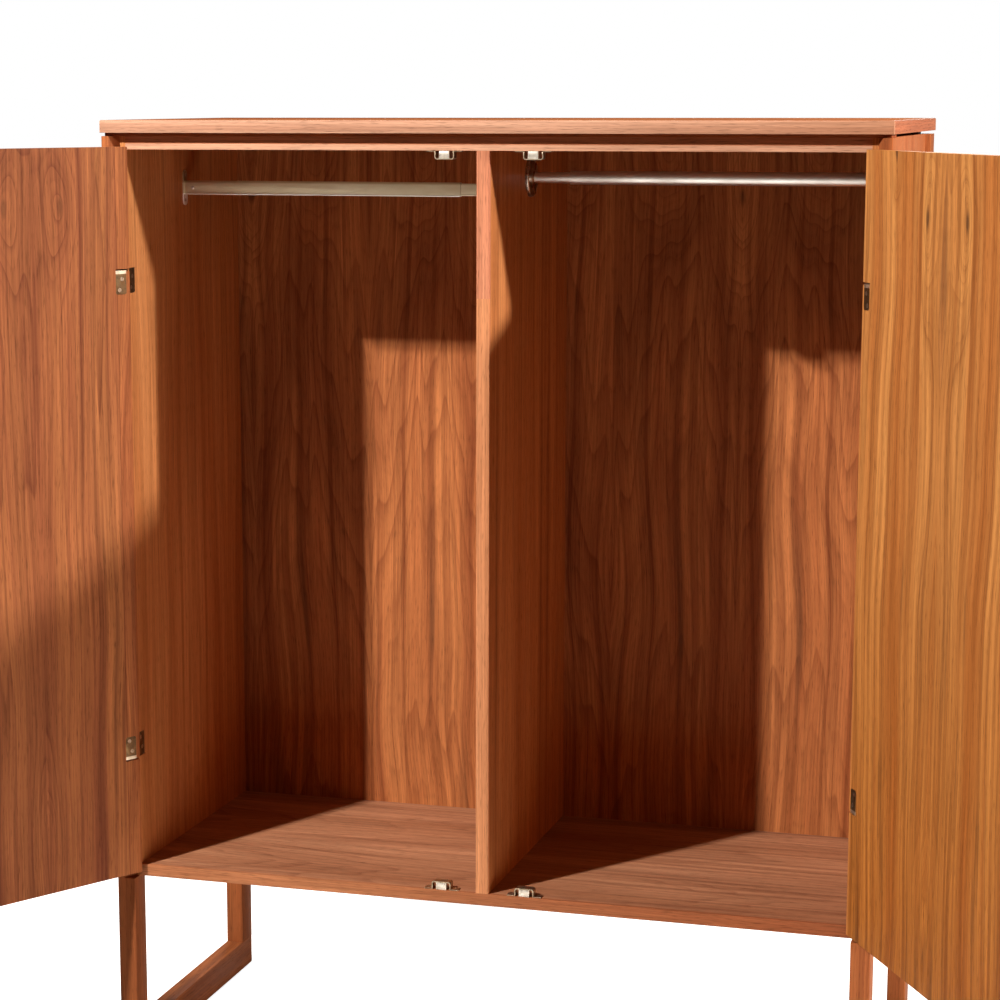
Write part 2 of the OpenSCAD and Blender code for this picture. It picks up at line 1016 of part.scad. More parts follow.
// a domed head outside the channel, and a shank that ends behind the tab
module rivet(x, face_y, tab_y) {
    dome_r = 2.8;
    dome_h = 1.2;
    translate([x, face_y, flat_rail_z]) rotate([90, 0, 0]) {
        cylinder(h = dome_h, r1 = dome_r, r2 = rivet_r);
        translate([0, 0, -(tab_y + tab_t / 2 - face_y)])
            cylinder(h = tab_y + tab_t / 2 - face_y, r = rivet_r);
    }
}

module flat_rail_rivets() {
    color(chrome) {
        rivet(flat_start + rivet_from_end, flat_rail_y - flat_rail_t / 2, outer_tab_y);
        rivet(flat_stop - rivet_from_end, flat_rail_y - flat_inner_t / 2, inner_tab_y);
    }
}

module flat_rail_screws() {
    offset_z = flat_bracket_h / 2 - flat_bracket_w / 2;
    color(steel)
        for (place = [[-side_in + flat_bracket_t, 90], [-divider_t / 2 - flat_bracket_t, -90]],
            z = [-offset_z, offset_z])
            translate([place[0], flat_rail_y, flat_rail_z + z]) rotate([0, place[1], 0])
                screw(2.8, rail_screw_l);
}

// ------------------------------------------------------------------ round telescopic rail

// flange seen in half section: a disc with a rounded rim, a dished ring round its
// socket, and a bore that the tube ends in
module flange_section(bore_r) {
    rim_x = flange_d / 2 - flange_rim_r;
    dish_x = (socket_d / 2 + rim_x) / 2;
    dish_r = 18;
    difference() {
        union() {
            square([rim_x, flange_t]);
            square([flange_d / 2, flange_t - flange_rim_r]);
            translate([rim_x, flange_t - flange_rim_r]) circle(flange_rim_r);
            square([socket_d / 2, socket_l]);
        }
        translate([dish_x, flange_t - flange_dish + dish_r]) circle(dish_r, $fn = 128);
        translate([0, flange_t]) square([bore_r, socket_l]);
    }
}

// flange on a face that looks along the X axis
module flange(face_x, out, bore_r) {
    color(chrome) difference() {
        translate([face_x, round_rail_y, round_rail_z]) rotate([0, out * 90, 0])
            rotate_extrude() flange_section(bore_r);
        round_rail_screws();
    }
}

module round_rail_flange_divider() {
    flange(divider_t / 2, 1, thin_tube_d / 2);
}

module round_rail_flange_side() {
    flange(side_in, -1, thick_tube_d / 2);
}

// tube along X with a through bore
module tube(x0, x1, outer_d) {
    color(chrome) translate([x0, round_rail_y, round_rail_z]) rotate([0, 90, 0]) difference() {
        cylinder(h = x1 - x0, r = outer_d / 2);
        translate([0, 0, -over]) cylinder(h = x1 - x0 + 2 * over, r = outer_d / 2 - tube_wall);
    }
}

module round_rail_outer() {
    tube(step_x, side_in - flange_t, thick_tube_d);
}

module round_rail_inner() {
    tube(divider_t / 2 + flange_t, step_x + tube_overlap, thin_tube_d);
}

module round_rail_screws() {
    color(chrome)
        for (place = [[divider_t / 2 + flange_t, 90], [side_in - flange_t, -90]],
            turn = [30, 150, 270])
            translate([place[0], round_rail_y, round_rail_z]) rotate([0, place[1], 0])
                rotate([0, 0, turn]) translate([flange_screw_r, 0, -flange_dish - 0.2])
                    screw(small_head_r, rail_screw_l);
}

// ------------------------------------------------------------------ parts shown

top_panel();
top_edging_front();
top_edging_rear();
top_edging_left();
top_edging_right();
top_edging_right_tail();
spacer_front();
spacer_rear();
case_top();
case_top_lipping();
case_bottom();
case_bottom_lipping();
side_panel_left();
side_panel_right();
divider();
divider_lipping();
divider_lipping_upper();
back_panel();
back_screws();
front_leg_left();
front_leg_right();
rear_leg_left();
rear_leg_right();
runner_left();
runner_right();
glides();
hinge_case_leaves();
hinge_case_screws();
hinge_pins();
catch_housings();
catch_poles();
catch_screws();
flat_rail_bracket_side();
flat_rail_bracket_divider();
flat_rail_outer();
flat_rail_inner();
flat_rail_rivets();
flat_rail_screws();
round_rail_flange_divider();
round_rail_flange_side();
round_rail_outer();
round_rail_inner();
round_rail_screws();
door_panel_left();
door_hinge_lipping_left();
door_free_lipping_left();
hinge_door_leaves_left();
hinge_door_screws_left();
door_knob_left();
strike_plates_left();
door_panel_right();
door_hinge_lipping_right();
door_free_lipping_right();
hinge_door_leaves_right();
hinge_door_screws_right();
door_knob_right();
strike_plates_right();
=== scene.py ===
# %% [markdown]
# # A walnut-coloured wardrobe with two doors
#
# The wardrobe comes from the CAD side as a *frame*: every board, leg, hinge and
# screw is already there, in metres, at its true place. What Blender adds is the
# look: soft arrises, veneer, brass darkened by tarnish and by painted shade, bright
# rails, slotted screws, light, and painted shade and highlights in a few places.
# Each step below says what the piece is, which ways there are to make it, and
# why this one was taken.

# %% Load the frame
import json
import math

import bmesh
import bpy
from mathutils import Matrix, Vector
from mathutils.bvhtree import BVHTree


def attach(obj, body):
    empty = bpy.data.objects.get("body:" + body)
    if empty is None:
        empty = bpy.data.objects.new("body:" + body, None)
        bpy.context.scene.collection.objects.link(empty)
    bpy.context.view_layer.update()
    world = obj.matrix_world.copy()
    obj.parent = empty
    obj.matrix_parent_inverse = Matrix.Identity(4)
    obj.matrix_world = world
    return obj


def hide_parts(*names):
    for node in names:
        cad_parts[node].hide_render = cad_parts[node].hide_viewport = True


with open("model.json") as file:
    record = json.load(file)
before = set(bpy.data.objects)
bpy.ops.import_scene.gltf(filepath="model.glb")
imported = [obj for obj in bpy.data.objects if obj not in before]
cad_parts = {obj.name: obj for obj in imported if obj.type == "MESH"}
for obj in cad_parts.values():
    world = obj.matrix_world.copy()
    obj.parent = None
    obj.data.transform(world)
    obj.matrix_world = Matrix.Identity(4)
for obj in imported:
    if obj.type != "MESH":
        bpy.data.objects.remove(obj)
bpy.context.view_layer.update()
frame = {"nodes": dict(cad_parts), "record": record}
nodes = frame["nodes"]
print("pieces in the frame:", len(nodes))

# %% [markdown]
# ## Which body does a piece ride on?
#
# A dressed piece has to move with the same body as the CAD node it stands for,
# and that node's slot, the name of its finish in the record, helps choose its
# material. The record lists both, so two lookups answer the question for every piece.

# %% Bodies and slots of the nodes
body_of = {}
for body, members in frame["record"]["behaviour"]["bodies"].items():
    for name in members:
        body_of[name] = body
slot_of = {part["node"]: part["material_slot"] for part in frame["record"]["subparts"]}
print("bodies:", sorted(set(body_of.values())))
print("nodes with a slot:", len(slot_of))

# %% [markdown]
# ## The camera
#
# The wardrobe is seen from its right, a little above the top of the doors. A
# camera could be aimed with a tracking constraint, but then its roll and its
# lens shift are hard to read. Here its axes are worked out from three angles,
# and a small shift moves the middle of the view off the lens axis.

# %% Camera
SENSOR_WIDTH = 36
FARTHEST_SEEN = 60


def studio_camera(place, yaw, pitch, roll, focal, shift):
    """Camera from angles in degrees: yaw to the left, pitch down, roll clockwise."""
    yaw, pitch, roll = (math.radians(angle) for angle in (yaw, pitch, roll))
    flat = math.cos(pitch)
    ahead = Vector((-math.sin(yaw) * flat, math.cos(yaw) * flat, -math.sin(pitch)))
    level = Vector((math.cos(yaw), math.sin(yaw), 0))
    upright = level.cross(ahead)
    right = math.cos(roll) * level + math.sin(roll) * upright
    up = math.cos(roll) * upright - math.sin(roll) * level
    data = bpy.data.cameras.new("camera")
    data.sensor_width = SENSOR_WIDTH
    data.lens = focal
    data.shift_x, data.shift_y = shift
    data.clip_end = FARTHEST_SEEN
    camera = bpy.data.objects.new("camera", data)
    axes = Matrix((right, up, -ahead)).transposed()
    camera.matrix_world = Matrix.Translation(place) @ axes.to_4x4()
    bpy.context.scene.collection.objects.link(camera)
    return camera


bpy.context.scene.camera = studio_camera(
    place=Vector((1.0610, -3.7565, 1.5258)),
    yaw=16.915, pitch=9.902, roll=-0.097, focal=95.1, shift=(0.070, 0.060),
)
print("camera at", tuple(bpy.context.scene.camera.location))

# %% [markdown]
# ## Small tools for node trees
#
# Every finish below is a tree of nodes. Each node could be added, set and wired
# line by line, but then the recipe drowns in wiring. With a few helpers a node
# takes one line, and a value may be a number or the socket of another node.

# %% Helpers that build node trees
WHITE = (1, 1, 1, 1)


def put(tree, kind, inputs=None, **settings):
    """Add a node, set its properties, then wire or set its inputs."""
    new = tree.nodes.new(kind)
    for key, value in settings.items():
        setattr(new, key, value)
    for key, value in (inputs or {}).items():
        feed(tree, new.inputs[key], value)
    return new


def feed(tree, socket, value):
    """Wire a socket, or set it where the value is a plain one."""
    if isinstance(value, bpy.types.NodeSocket):
        tree.links.new(value, socket)
    else:
        socket.default_value = value


def calc(tree, operation, first, second=0.0, third=0.0):
    """One arithmetic step on sockets or numbers."""
    return put(tree, "ShaderNodeMath", {0: first, 1: second, 2: third}, operation=operation).outputs[0]


def ramp(tree, value, low, high):
    """Stretch a value so that low becomes 0 and high becomes 1."""
    return put(tree, "ShaderNodeMapRange", {0: value, 1: low, 2: high, 3: 0.0, 4: 1.0}).outputs[0]


def blend(tree, share, first, second, mode="MIX"):
    """Mix two colours by a share; sockets 6, 7 and 2 are the colour ones of the node."""
    mixer = put(tree, "ShaderNodeMix", {"Factor": share}, data_type="RGBA", blend_type=mode)
    feed(tree, mixer.inputs[6], first)
    feed(tree, mixer.inputs[7], second)
    return mixer.outputs[2]


def new_material(name):
    """A material with its node tree and its main shader."""
    material = bpy.data.materials.new(name)
    material.use_nodes = True
    return material, material.node_tree, material.node_tree.nodes["Principled BSDF"]


def plain_material(name, colour, roughness):
    """One even colour."""
    material, _, shader = new_material(name)
    shader.inputs["Base Color"].default_value = (*colour, 1)
    shader.inputs["Roughness"].default_value = roughness
    return material


print("helpers:", [helper.__name__ for helper in (put, feed, calc, ramp, blend)])

# %% [markdown]
# ## The floor
#
# A pale floor is kept plain, so that all the interest stays in the wood. A wide
# sheet that bounced light everywhere would wash the shadows out, so only the
# paper under the wardrobe may light it. The floor around that paper has the same
# colour but is left out of the bounce.

# %% Floor
SHEET_COLOUR = (0.80, 0.78, 0.75)
SHEET_ROUGHNESS = 0.75
SHEET_SHEEN = 0.2
SHEET_GLOW = 0.93


def studio_floor(name, left, front, right, back, level, bounce):
    """A sheet that always looks white, and lights the piece only if it may bounce."""
    mesh = bpy.data.meshes.new(name)
    corners = [(left, front, level), (right, front, level), (right, back, level), (left, back, level)]
    mesh.from_pydata(corners, [], [(0, 1, 2, 3)])
    floor = bpy.data.objects.new(name, mesh)
    material = plain_material(name, SHEET_COLOUR, SHEET_ROUGHNESS)
    tree = material.node_tree
    shader = tree.nodes["Principled BSDF"]
    shader.inputs["Specular IOR Level"].default_value = SHEET_SHEEN
    shader.inputs["Emission Color"].default_value = WHITE
    seen = put(tree, "ShaderNodeLightPath").outputs["Is Camera Ray"]
    feed(tree, shader.inputs["Emission Strength"], calc(tree, "MULTIPLY", seen, SHEET_GLOW))
    mesh.materials.append(material)
    bpy.context.scene.collection.objects.link(floor)
    floor.visible_diffuse = bounce
    return floor


sheets = [
    studio_floor("paper_sheet", -1.3, -1.2, 2.6, 1.0, level=0.0, bounce=True),
    studio_floor("studio_floor", -14, -14, 14, 14, level=-0.004, bounce=False),
]
print("floor:", [sheet.name for sheet in sheets])

# %% [markdown]
# ## Lamps and surround
#
# One big soft lamp would be easy, but it leaves deep compartments flat. Small
# lamps draw the shadows that show how deep they are. A twin lamp high at the
# front left reaches under the top and draws the double upright shadow edges on
# the back. One lamp high at the right skims over the right door onto the left
# one. A low white board at the right sends light under that door to the foot of
# the left one, a wide board behind the wardrobe keeps its back readable, and the
# surround fills the rest. The surround looks white, is dim on the wood so that
# the shadows stay deep, and is brighter in the metals, which need something to
# mirror.

# %% Lamps
TWIN_LAMP = (1.0, 0.99, 0.97)
RIGHT_LAMP = (1.0, 0.98, 0.96)
WARM_BOARD = (1.0, 0.93, 0.84)


def light_at(name, data, watts, colour):
    """Put a light of any kind in the scene."""
    data.energy = watts
    data.color = colour
    light = bpy.data.objects.new(name, data)
    bpy.context.scene.collection.objects.link(light)
    return light


def lamp(name, place, watts, radius, colour):
    """A round lamp; the smaller its radius, the crisper its shadows."""
    data = bpy.data.lights.new(name, "POINT")
    data.shadow_soft_size = radius
    light_at(name, data, watts, colour).location = place


def lit_board(name, place, facing, width, height, watts):
    """A flat board that sends soft light one way."""
    data = bpy.data.lights.new(name, "AREA")
    data.shape = "RECTANGLE"
    data.size, data.size_y = width, height
    turn = (-Vector(facing)).to_track_quat("Z", "Y").to_matrix().to_4x4()
    light_at(name, data, watts, WARM_BOARD).matrix_world = Matrix.Translation(place) @ turn


lamp("lamp_front_left", (-1.541, -2.19, 2.97), watts=378, radius=0.03, colour=TWIN_LAMP)
lamp("lamp_front_left_rim", (-1.612, -2.19, 3.045), watts=400, radius=0.03, colour=TWIN_LAMP)
lamp("lamp_right", (2.2, -0.408, 2.205), watts=352, radius=0.05, colour=RIGHT_LAMP)
lit_board("white_board", (2.3, -0.7, 0.25), facing=(-1, 0, 0), width=1.3, height=0.45, watts=24)
lit_board("board_behind", (-0.5, 3.6, 2.3), facing=(0.1, -1, -0.3), width=2.4, height=1.2, watts=50)

# %% Surround
SURROUND_ON_WOOD = (0.024, 0.0145, 0.007, 1)
SURROUND_IN_METAL = (0.35, 0.33, 0.29, 1)

world = bpy.data.worlds.new("surround")
bpy.context.scene.world = world
world.use_nodes = True
sky = world.node_tree
ray = put(sky, "ShaderNodeLightPath").outputs
tone = blend(sky, ray["Is Glossy Ray"], SURROUND_ON_WOOD, SURROUND_IN_METAL)
tone = blend(sky, ray["Is Camera Ray"], tone, WHITE)
feed(sky, sky.nodes["Background"].inputs["Color"], tone)
bpy.context.scene.view_settings.view_transform = "Standard"
print("surround:", world.name)

# %% [markdown]
# ## Wood, once for every board
#
# A picture of veneer would be quick, but it repeats, and it stretches on an edge.
# A solid pattern can be cut at any face. So one node group grows a trunk: rings
# round a heart that runs nearly along the board, fibres, pores and broad colour
# bands. A board that is cut flat through the rings gets arched figure, and one
# that is cut far from the heart gets straight lines.
#
# All of it comes from noise that is drawn out along the grain, from chances that
# are the same each time, and from lines where a ring ends.

# %% Noise, chance and ring lines
NOISE_ROUGHNESS = 0.55
LATE_WOOD_END = 0.93     # the share of a ring after which its line fades
FAINTEST_LINE = 0.1      # the weight of the weakest ring's line


def grain_noise(tree, spot, seed, across, along, detail):
    """Noise from 0 to 1 that changes so many times a metre across and along the grain."""
    stretched = put(tree, "ShaderNodeCombineXYZ", {
        0: calc(tree, "MULTIPLY", spot[0], across),
        1: calc(tree, "MULTIPLY", spot[1], across),
        2: calc(tree, "MULTIPLY", spot[2], along),
    })
    return put(tree, "ShaderNodeTexNoise", {
        "Vector": stretched.outputs[0], "W": seed, "Scale": 1.0, "Detail": detail,
        "Roughness": NOISE_ROUGHNESS,
    }, noise_dimensions="4D").outputs[0]


def chance(tree, number):
    """A share from 0 to 1 that looks random but is always the same for one number."""
    return put(tree, "ShaderNodeTexWhiteNoise", {"W": number}, noise_dimensions="1D").outputs[0]


def ring_line(tree, count, sharpness, seed):
    """A dark line where each ring ends, some strong and some faint."""
    rise = calc(tree, "FRACT", count)
    fall = calc(tree, "SUBTRACT", 1.0, ramp(tree, rise, LATE_WOOD_END, 1.0))
    line = calc(tree, "MULTIPLY", calc(tree, "POWER", rise, sharpness), fall)
    weight = chance(tree, calc(tree, "ADD", calc(tree, "FLOOR", count), seed))
    weight = calc(tree, "MULTIPLY", weight, weight)
    weight = calc(tree, "MULTIPLY_ADD", weight, 1.0 - FAINTEST_LINE, FAINTEST_LINE)
    return calc(tree, "MULTIPLY", line, weight)


print("a ring's line fades from", LATE_WOOD_END, "of the ring")

# %% [markdown]
# ## From leaves to rings
#
# Veneer comes in leaves laid side by side as mirror images, which a ping-pong of
# the distance across gives for nothing. Inside a leaf the grain wanders, so the
# distance from the heart is bent by slow and by small waves before the rings are
# counted. Twigs could be modelled one by one. Here a sparse pattern of cells
# chooses a few spots that push the rings aside and leave a small dark eye.

# %% Leaves, waves and rings
LEAF_SHIFT = 0.037       # metres that one step of the seed slides the leaves
SLOW_WAVES = (3.6, 1.9)  # waves a metre, across and along
SMALL_WAVES = (13.0, 2.6)
SMALL_REACH = 0.011      # metres that a small wave moves the grain
LEAF_DEPTH = 0.02        # metres between the shallowest and the deepest cut of a leaf
UNEVEN_YEARS = (24.0, 0.9)
UNEVEN_BY = 1.7          # rings


def other_seed(tree, seed, number):
    """Another seed, so that two noises on one board don't look alike."""
    return calc(tree, "ADD", seed, number)


def veneer_leaves(tree, given, across):
    """The distance from the middle of a mirrored leaf, and the leaf's own chance."""
    width, seed = given["Leaf Width"], given["Seed"]
    shifted = calc(tree, "ADD", across, calc(tree, "MULTIPLY", seed, LEAF_SHIFT))
    number = calc(tree, "FLOOR", calc(tree, "DIVIDE", shifted, width))
    luck = chance(tree, calc(tree, "ADD", number, seed))
    folded = calc(tree, "PINGPONG", shifted, width)
    return calc(tree, "SUBTRACT", folded, calc(tree, "MULTIPLY", width, 0.5)), luck


def bent_grain(tree, given, spot, from_middle):
    """The distance from the heart across the board, bent by slow and by small waves."""
    seed = given["Seed"]
    slow = grain_noise(tree, spot, seed, *SLOW_WAVES, detail=1.0)
    slow = calc(tree, "MULTIPLY", calc(tree, "SUBTRACT", slow, 0.5), given["Waviness"])
    small = grain_noise(tree, spot, other_seed(tree, seed, 7.0), *SMALL_WAVES, detail=1.0)
    small = calc(tree, "MULTIPLY", calc(tree, "SUBTRACT", small, 0.5), SMALL_REACH)
    return calc(tree, "ADD", calc(tree, "ADD", from_middle, slow), small)


def count_rings(tree, given, spot, luck):
    """How many rings lie between the heart and the spot."""
    off_heart, through, along = spot
    depth = calc(tree, "MULTIPLY", along, given["Heart Slope"])
    depth = calc(tree, "ADD", calc(tree, "ADD", depth, given["Heart Depth"]), through)
    depth = calc(tree, "ADD", depth, calc(tree, "MULTIPLY", luck, LEAF_DEPTH))
    squares = calc(tree, "ADD", calc(tree, "MULTIPLY", off_heart, off_heart),
                   calc(tree, "MULTIPLY", depth, depth))
    count = calc(tree, "MULTIPLY", calc(tree, "SQRT", squares), given["Rings"])
    uneven = grain_noise(tree, spot, other_seed(tree, given["Seed"], 3.0), *UNEVEN_YEARS, detail=1.0)
    return calc(tree, "ADD", count, calc(tree, "MULTIPLY", uneven, UNEVEN_BY))


print("small waves move the grain by up to", SMALL_REACH / 2, "m")

# %% Twigs
TWIG_CELLS = (5.5, 1.7)  # cells a metre, across and along, each with at most one twig
TWIG_SHARE = 0.5         # the share of cells without a twig
TWIG_REACH = 0.42        # in cells, as the eye is
TWIG_PUSH = 4.5          # rings
EYE_RIM, EYE_MIDDLE = 0.035, 0.012


def twigs(tree, given, spot):
    """How many rings a twig pushes aside at the spot, and how dark its eye is there."""
    place = put(tree, "ShaderNodeCombineXYZ", {
        0: calc(tree, "MULTIPLY", spot[0], TWIG_CELLS[0]),
        1: calc(tree, "MULTIPLY", spot[2], TWIG_CELLS[1]),
        2: given["Seed"],
    })
    cell = put(tree, "ShaderNodeTexVoronoi", {"Vector": place.outputs[0], "Scale": 1.0},
               voronoi_dimensions="2D", feature="F1").outputs
    luck = put(tree, "ShaderNodeSeparateColor", {0: cell["Color"]}).outputs[0]
    chosen = calc(tree, "MULTIPLY", calc(tree, "GREATER_THAN", luck, TWIG_SHARE), given["Knots"])
    push = ramp(tree, cell["Distance"], TWIG_REACH, 0.0)
    push = calc(tree, "MULTIPLY", calc(tree, "MULTIPLY", push, push), chosen)
    eye = calc(tree, "MULTIPLY", ramp(tree, cell["Distance"], EYE_RIM, EYE_MIDDLE), chosen)
    return calc(tree, "MULTIPLY", push, TWIG_PUSH), eye


print("twig cells a metre:", TWIG_CELLS)

# %% [markdown]
# ## Colour and surface of the wood
#
# This wood has a warm ground in two tones, darker ring lines, long dark streaks and
# short open pores. One dark colour is laid over the ground again and again, each
# time by the share of one of these marks, as glazes are. The fibres only move the
# brightness, the roughness and a very small height, which gives the silk of oiled
# wood.

# %% The marks in the wood
BROAD_SHARPNESS, FINE_SHARPNESS = 8.0, 3.0
FINE_PER_BROAD = 3.7
CHANGES_A_RING = 0.37
YEAR_RANGE = (0.32, 0.68)
FAINTEST_BROAD = 0.25


def wood_marks(tree, given, spot, count):
    """Each mark as a share from 0 to 1: how much of it lies on the spot."""
    seed = given["Seed"]

    def mark(across, along, detail, low, high, other=0.0):
        noise = grain_noise(tree, spot, other_seed(tree, seed, other), across, along, detail)
        return ramp(tree, noise, low, high)

    strength = mark(across=30.0, along=2.6, detail=2.0, low=0.36, high=0.62, other=4.0)
    strength = calc(tree, "MULTIPLY_ADD", strength, 1.0 - FAINTEST_BROAD, FAINTEST_BROAD)
    finer = calc(tree, "MULTIPLY", count, FINE_PER_BROAD)
    year = put(tree, "ShaderNodeTexNoise", {
        "W": calc(tree, "MULTIPLY", count, CHANGES_A_RING), "Scale": 1.0, "Detail": 1.0,
    }, noise_dimensions="1D").outputs[0]
    return {
        "broad line": calc(tree, "MULTIPLY", ring_line(tree, count, BROAD_SHARPNESS, seed), strength),
        "fine line": ring_line(tree, finer, FINE_SHARPNESS, other_seed(tree, seed, 9.0)),
        "year": ramp(tree, year, *YEAR_RANGE),
        "fibre": mark(across=430.0, along=6.0, detail=3.0, low=0.3, high=0.7),
        "streak": mark(across=80.0, along=0.8, detail=3.0, low=0.44, high=0.72, other=5.0),
        "pore": mark(across=760.0, along=46.0, detail=1.0, low=0.56, high=0.72, other=1.0),
        "band": mark(across=15.0, along=0.6, detail=2.0, low=0.32, high=0.66),
        "smoke": mark(across=38.0, along=1.9, detail=2.0, low=0.60, high=0.78, other=6.0),
    }


print("fine lines for each broad one:", FINE_PER_BROAD)

# %% The colour and the surface
GLAZES = (("year", 0.42), ("streak", 0.70), ("fine line", 0.6), ("broad line", 1.0))
SMOKE_COLOUR = (0.10, 0.045, 0.022, 1)
EYE_COLOUR = (0.06, 0.025, 0.012, 1)
EYE_COVER = 0.8
# how much a mark adds to the brightness or roughness, and what is there without it
FIBRE_SHADE, LEAF_SHADE, PORE_SHADE = (0.46, 0.79), (0.12, 0.94), (-0.36, 1.0)
FIBRE_ROUGHNESS, PORE_ROUGHNESS = (0.10, 0.40), 0.2
FIBRE_RISE, PORE_DROP = 0.25, 0.8


def wood_colour(tree, given, marks, eye, luck):
    """Lay the marks over the ground, then shade by fibre, leaf and pore."""
    colour = blend(tree, marks["band"], given["Pale"], given["Mid"])
    for mark, cover in GLAZES:
        share = calc(tree, "MULTIPLY", given["Contrast"], cover)
        colour = blend(tree, calc(tree, "MULTIPLY", marks[mark], share), colour, given["Deep"])
    colour = blend(tree, calc(tree, "MULTIPLY", marks["smoke"], given["Smoke"]), colour, SMOKE_COLOUR)
    colour = blend(tree, calc(tree, "MULTIPLY", eye, EYE_COVER), colour, EYE_COLOUR)
    shade = 1.0
    for share, (gain, base) in ((marks["fibre"], FIBRE_SHADE), (luck, LEAF_SHADE),
                                (marks["pore"], PORE_SHADE)):
        shade = calc(tree, "MULTIPLY", shade, calc(tree, "MULTIPLY_ADD", share, gain, base))
    grey = put(tree, "ShaderNodeCombineColor", {0: shade, 1: shade, 2: shade}).outputs[0]
    return blend(tree, 1.0, colour, grey, "MULTIPLY")


def wood_surface(tree, marks):
    """The roughness, and the height that the bump reads."""
    rough = calc(tree, "MULTIPLY_ADD", marks["fibre"], *FIBRE_ROUGHNESS)
    rough = calc(tree, "ADD", rough, calc(tree, "MULTIPLY", marks["pore"], PORE_ROUGHNESS))
    height = calc(tree, "SUBTRACT", calc(tree, "MULTIPLY", marks["fibre"], FIBRE_RISE),
                  calc(tree, "MULTIPLY", marks["pore"], PORE_DROP))
    return rough, height


print("glazes over the ground:", [mark for mark, _ in GLAZES])

# %% The group that grows the wood
WOOD_NUMBERS = {
    "Leaf Width": 0.16, "Heart Depth": 0.1, "Heart Slope": 0.04, "Rings": 170.0, "Waviness": 0.02,
    "Contrast": 0.7, "Smoke": 0.0, "Knots": 0.0, "Seed": 0.0,
}
MIDDLE_BROWN = (0.5, 0.3, 0.2, 1)


def wood_sockets(tree):
    """Name what a board may choose, and what the group gives back."""
    def socket(name, kind, default=None, way="INPUT"):
        made = tree.interface.new_socket(name, in_out=way, socket_type="NodeSocket" + kind)
        if default is not None:
            made.default_value = default

    socket("Place", "Vector")
    for name, default in WOOD_NUMBERS.items():
        socket(name, "Float", default)
    for name in ("Pale", "Mid", "Deep"):
        socket(name, "Color", MIDDLE_BROWN)
    socket("Colour", "Color", way="OUTPUT")
    socket("Roughness", "Float", way="OUTPUT")
    socket("Height", "Float", way="OUTPUT")


def sawn_wood_group():
    """Place in, colour, roughness and height out; the third axis runs along the grain."""
    tree = bpy.data.node_groups.new("sawn_wood", "ShaderNodeTree")
    wood_sockets(tree)
    given = tree.nodes.new("NodeGroupInput").outputs
    across, through, along = put(tree, "ShaderNodeSeparateXYZ", {0: given["Place"]}).outputs
    from_middle, luck = veneer_leaves(tree, given, across)
    off_heart = bent_grain(tree, given, (across, through, along), from_middle)
    spot = (off_heart, through, along)
    push, eye = twigs(tree, given, spot)
    count = calc(tree, "ADD", count_rings(tree, given, spot, luck), push)
    marks = wood_marks(tree, given, spot, count)
    rough, height = wood_surface(tree, marks)
    put(tree, "NodeGroupOutput", {
        "Colour": wood_colour(tree, given, marks, eye, luck), "Roughness": rough, "Height": height,
    })
    return tree


sawn_wood = sawn_wood_group()
print("nodes in the wood group:", len(sawn_wood.nodes))

# %% [markdown]
# ## One wood material for each kind of board
#
# The group wants to know which way the grain runs. The object's own coordinates
# are swapped round so that their third axis always lies along the grain. The
# doors stand open at an angle, so theirs are turned back first.

# %% Wood materials
# which object axis lies across, through and along the grain
UPRIGHT_WIDE_X = (0, 1, 2)
UPRIGHT_WIDE_Y = (1, 0, 2)
LYING_ALONG_X = (1, 2, 0)
LYING_ALONG_Y = (0, 2, 1)
OILED_SHEEN = 0.05
BUMP_STRENGTH, BUMP_HEIGHT = 0.35, 0.0003


def own_place(tree, turn=0.0):
    """A spot on the piece in its own coordinates, turned back by some degrees."""
    place = put(tree, "ShaderNodeTexCoord").outputs["Object"]
    if not turn:
        return place
    back = (0, 0, math.radians(turn))
    return put(tree, "ShaderNodeMapping", {"Vector": place, "Rotation": back}).outputs[0]


def own_axis(tree, place, axis):
    """One coordinate of a place: 0 for x, 1 for y, 2 for z."""
    return put(tree, "ShaderNodeSeparateXYZ", {0: place}).outputs[axis]


def cut_from_trunk(tree, place, palette, seed, leaf=0.16, heart=(0.10, 0.04), rings=170.0,
                   wave=0.02, contrast=0.9, smoke=0.0, knots=0.0):
    """The wood group set for one cut: palette is pale, mid and deep; heart is depth and slope."""
    pale_tone, mid_tone, deep_tone = ((*tint, 1) for tint in palette)
    return put(tree, "ShaderNodeGroup", {
        "Place": place, "Leaf Width": leaf, "Heart Depth": heart[0], "Heart Slope": heart[1],
        "Rings": rings, "Waviness": wave, "Contrast": contrast, "Smoke": smoke, "Knots": knots,
        "Seed": seed, "Pale": pale_tone, "Mid": mid_tone, "Deep": deep_tone,
    }, node_tree=sawn_wood).outputs


def wood_material(name, axes, palette, seed, turn=0.0, sheen=OILED_SHEEN, **cut):
    """Oiled wood; the rest of the values say how it is cut from the trunk."""
    material, tree, shader = new_material(name)
    parts = put(tree, "ShaderNodeSeparateXYZ", {0: own_place(tree, turn)}).outputs
    grain = put(tree, "ShaderNodeCombineXYZ", {i: parts[axes[i]] for i in range(3)}).outputs[0]
    cut_wood = cut_from_trunk(tree, grain, palette, seed, **cut)
    bump = put(tree, "ShaderNodeBump", {
        "Height": cut_wood["Height"], "Strength": BUMP_STRENGTH, "Distance": BUMP_HEIGHT})
    feed(tree, shader.inputs["Base Color"], cut_wood["Colour"])
    feed(tree, shader.inputs["Roughness"], cut_wood["Roughness"])
    feed(tree, shader.inputs["Normal"], bump.outputs["Normal"])
    feed(tree, shader.inputs["Specular IOR Level"], sheen)
    return material


print("sheen of oiled wood:", OILED_SHEEN)
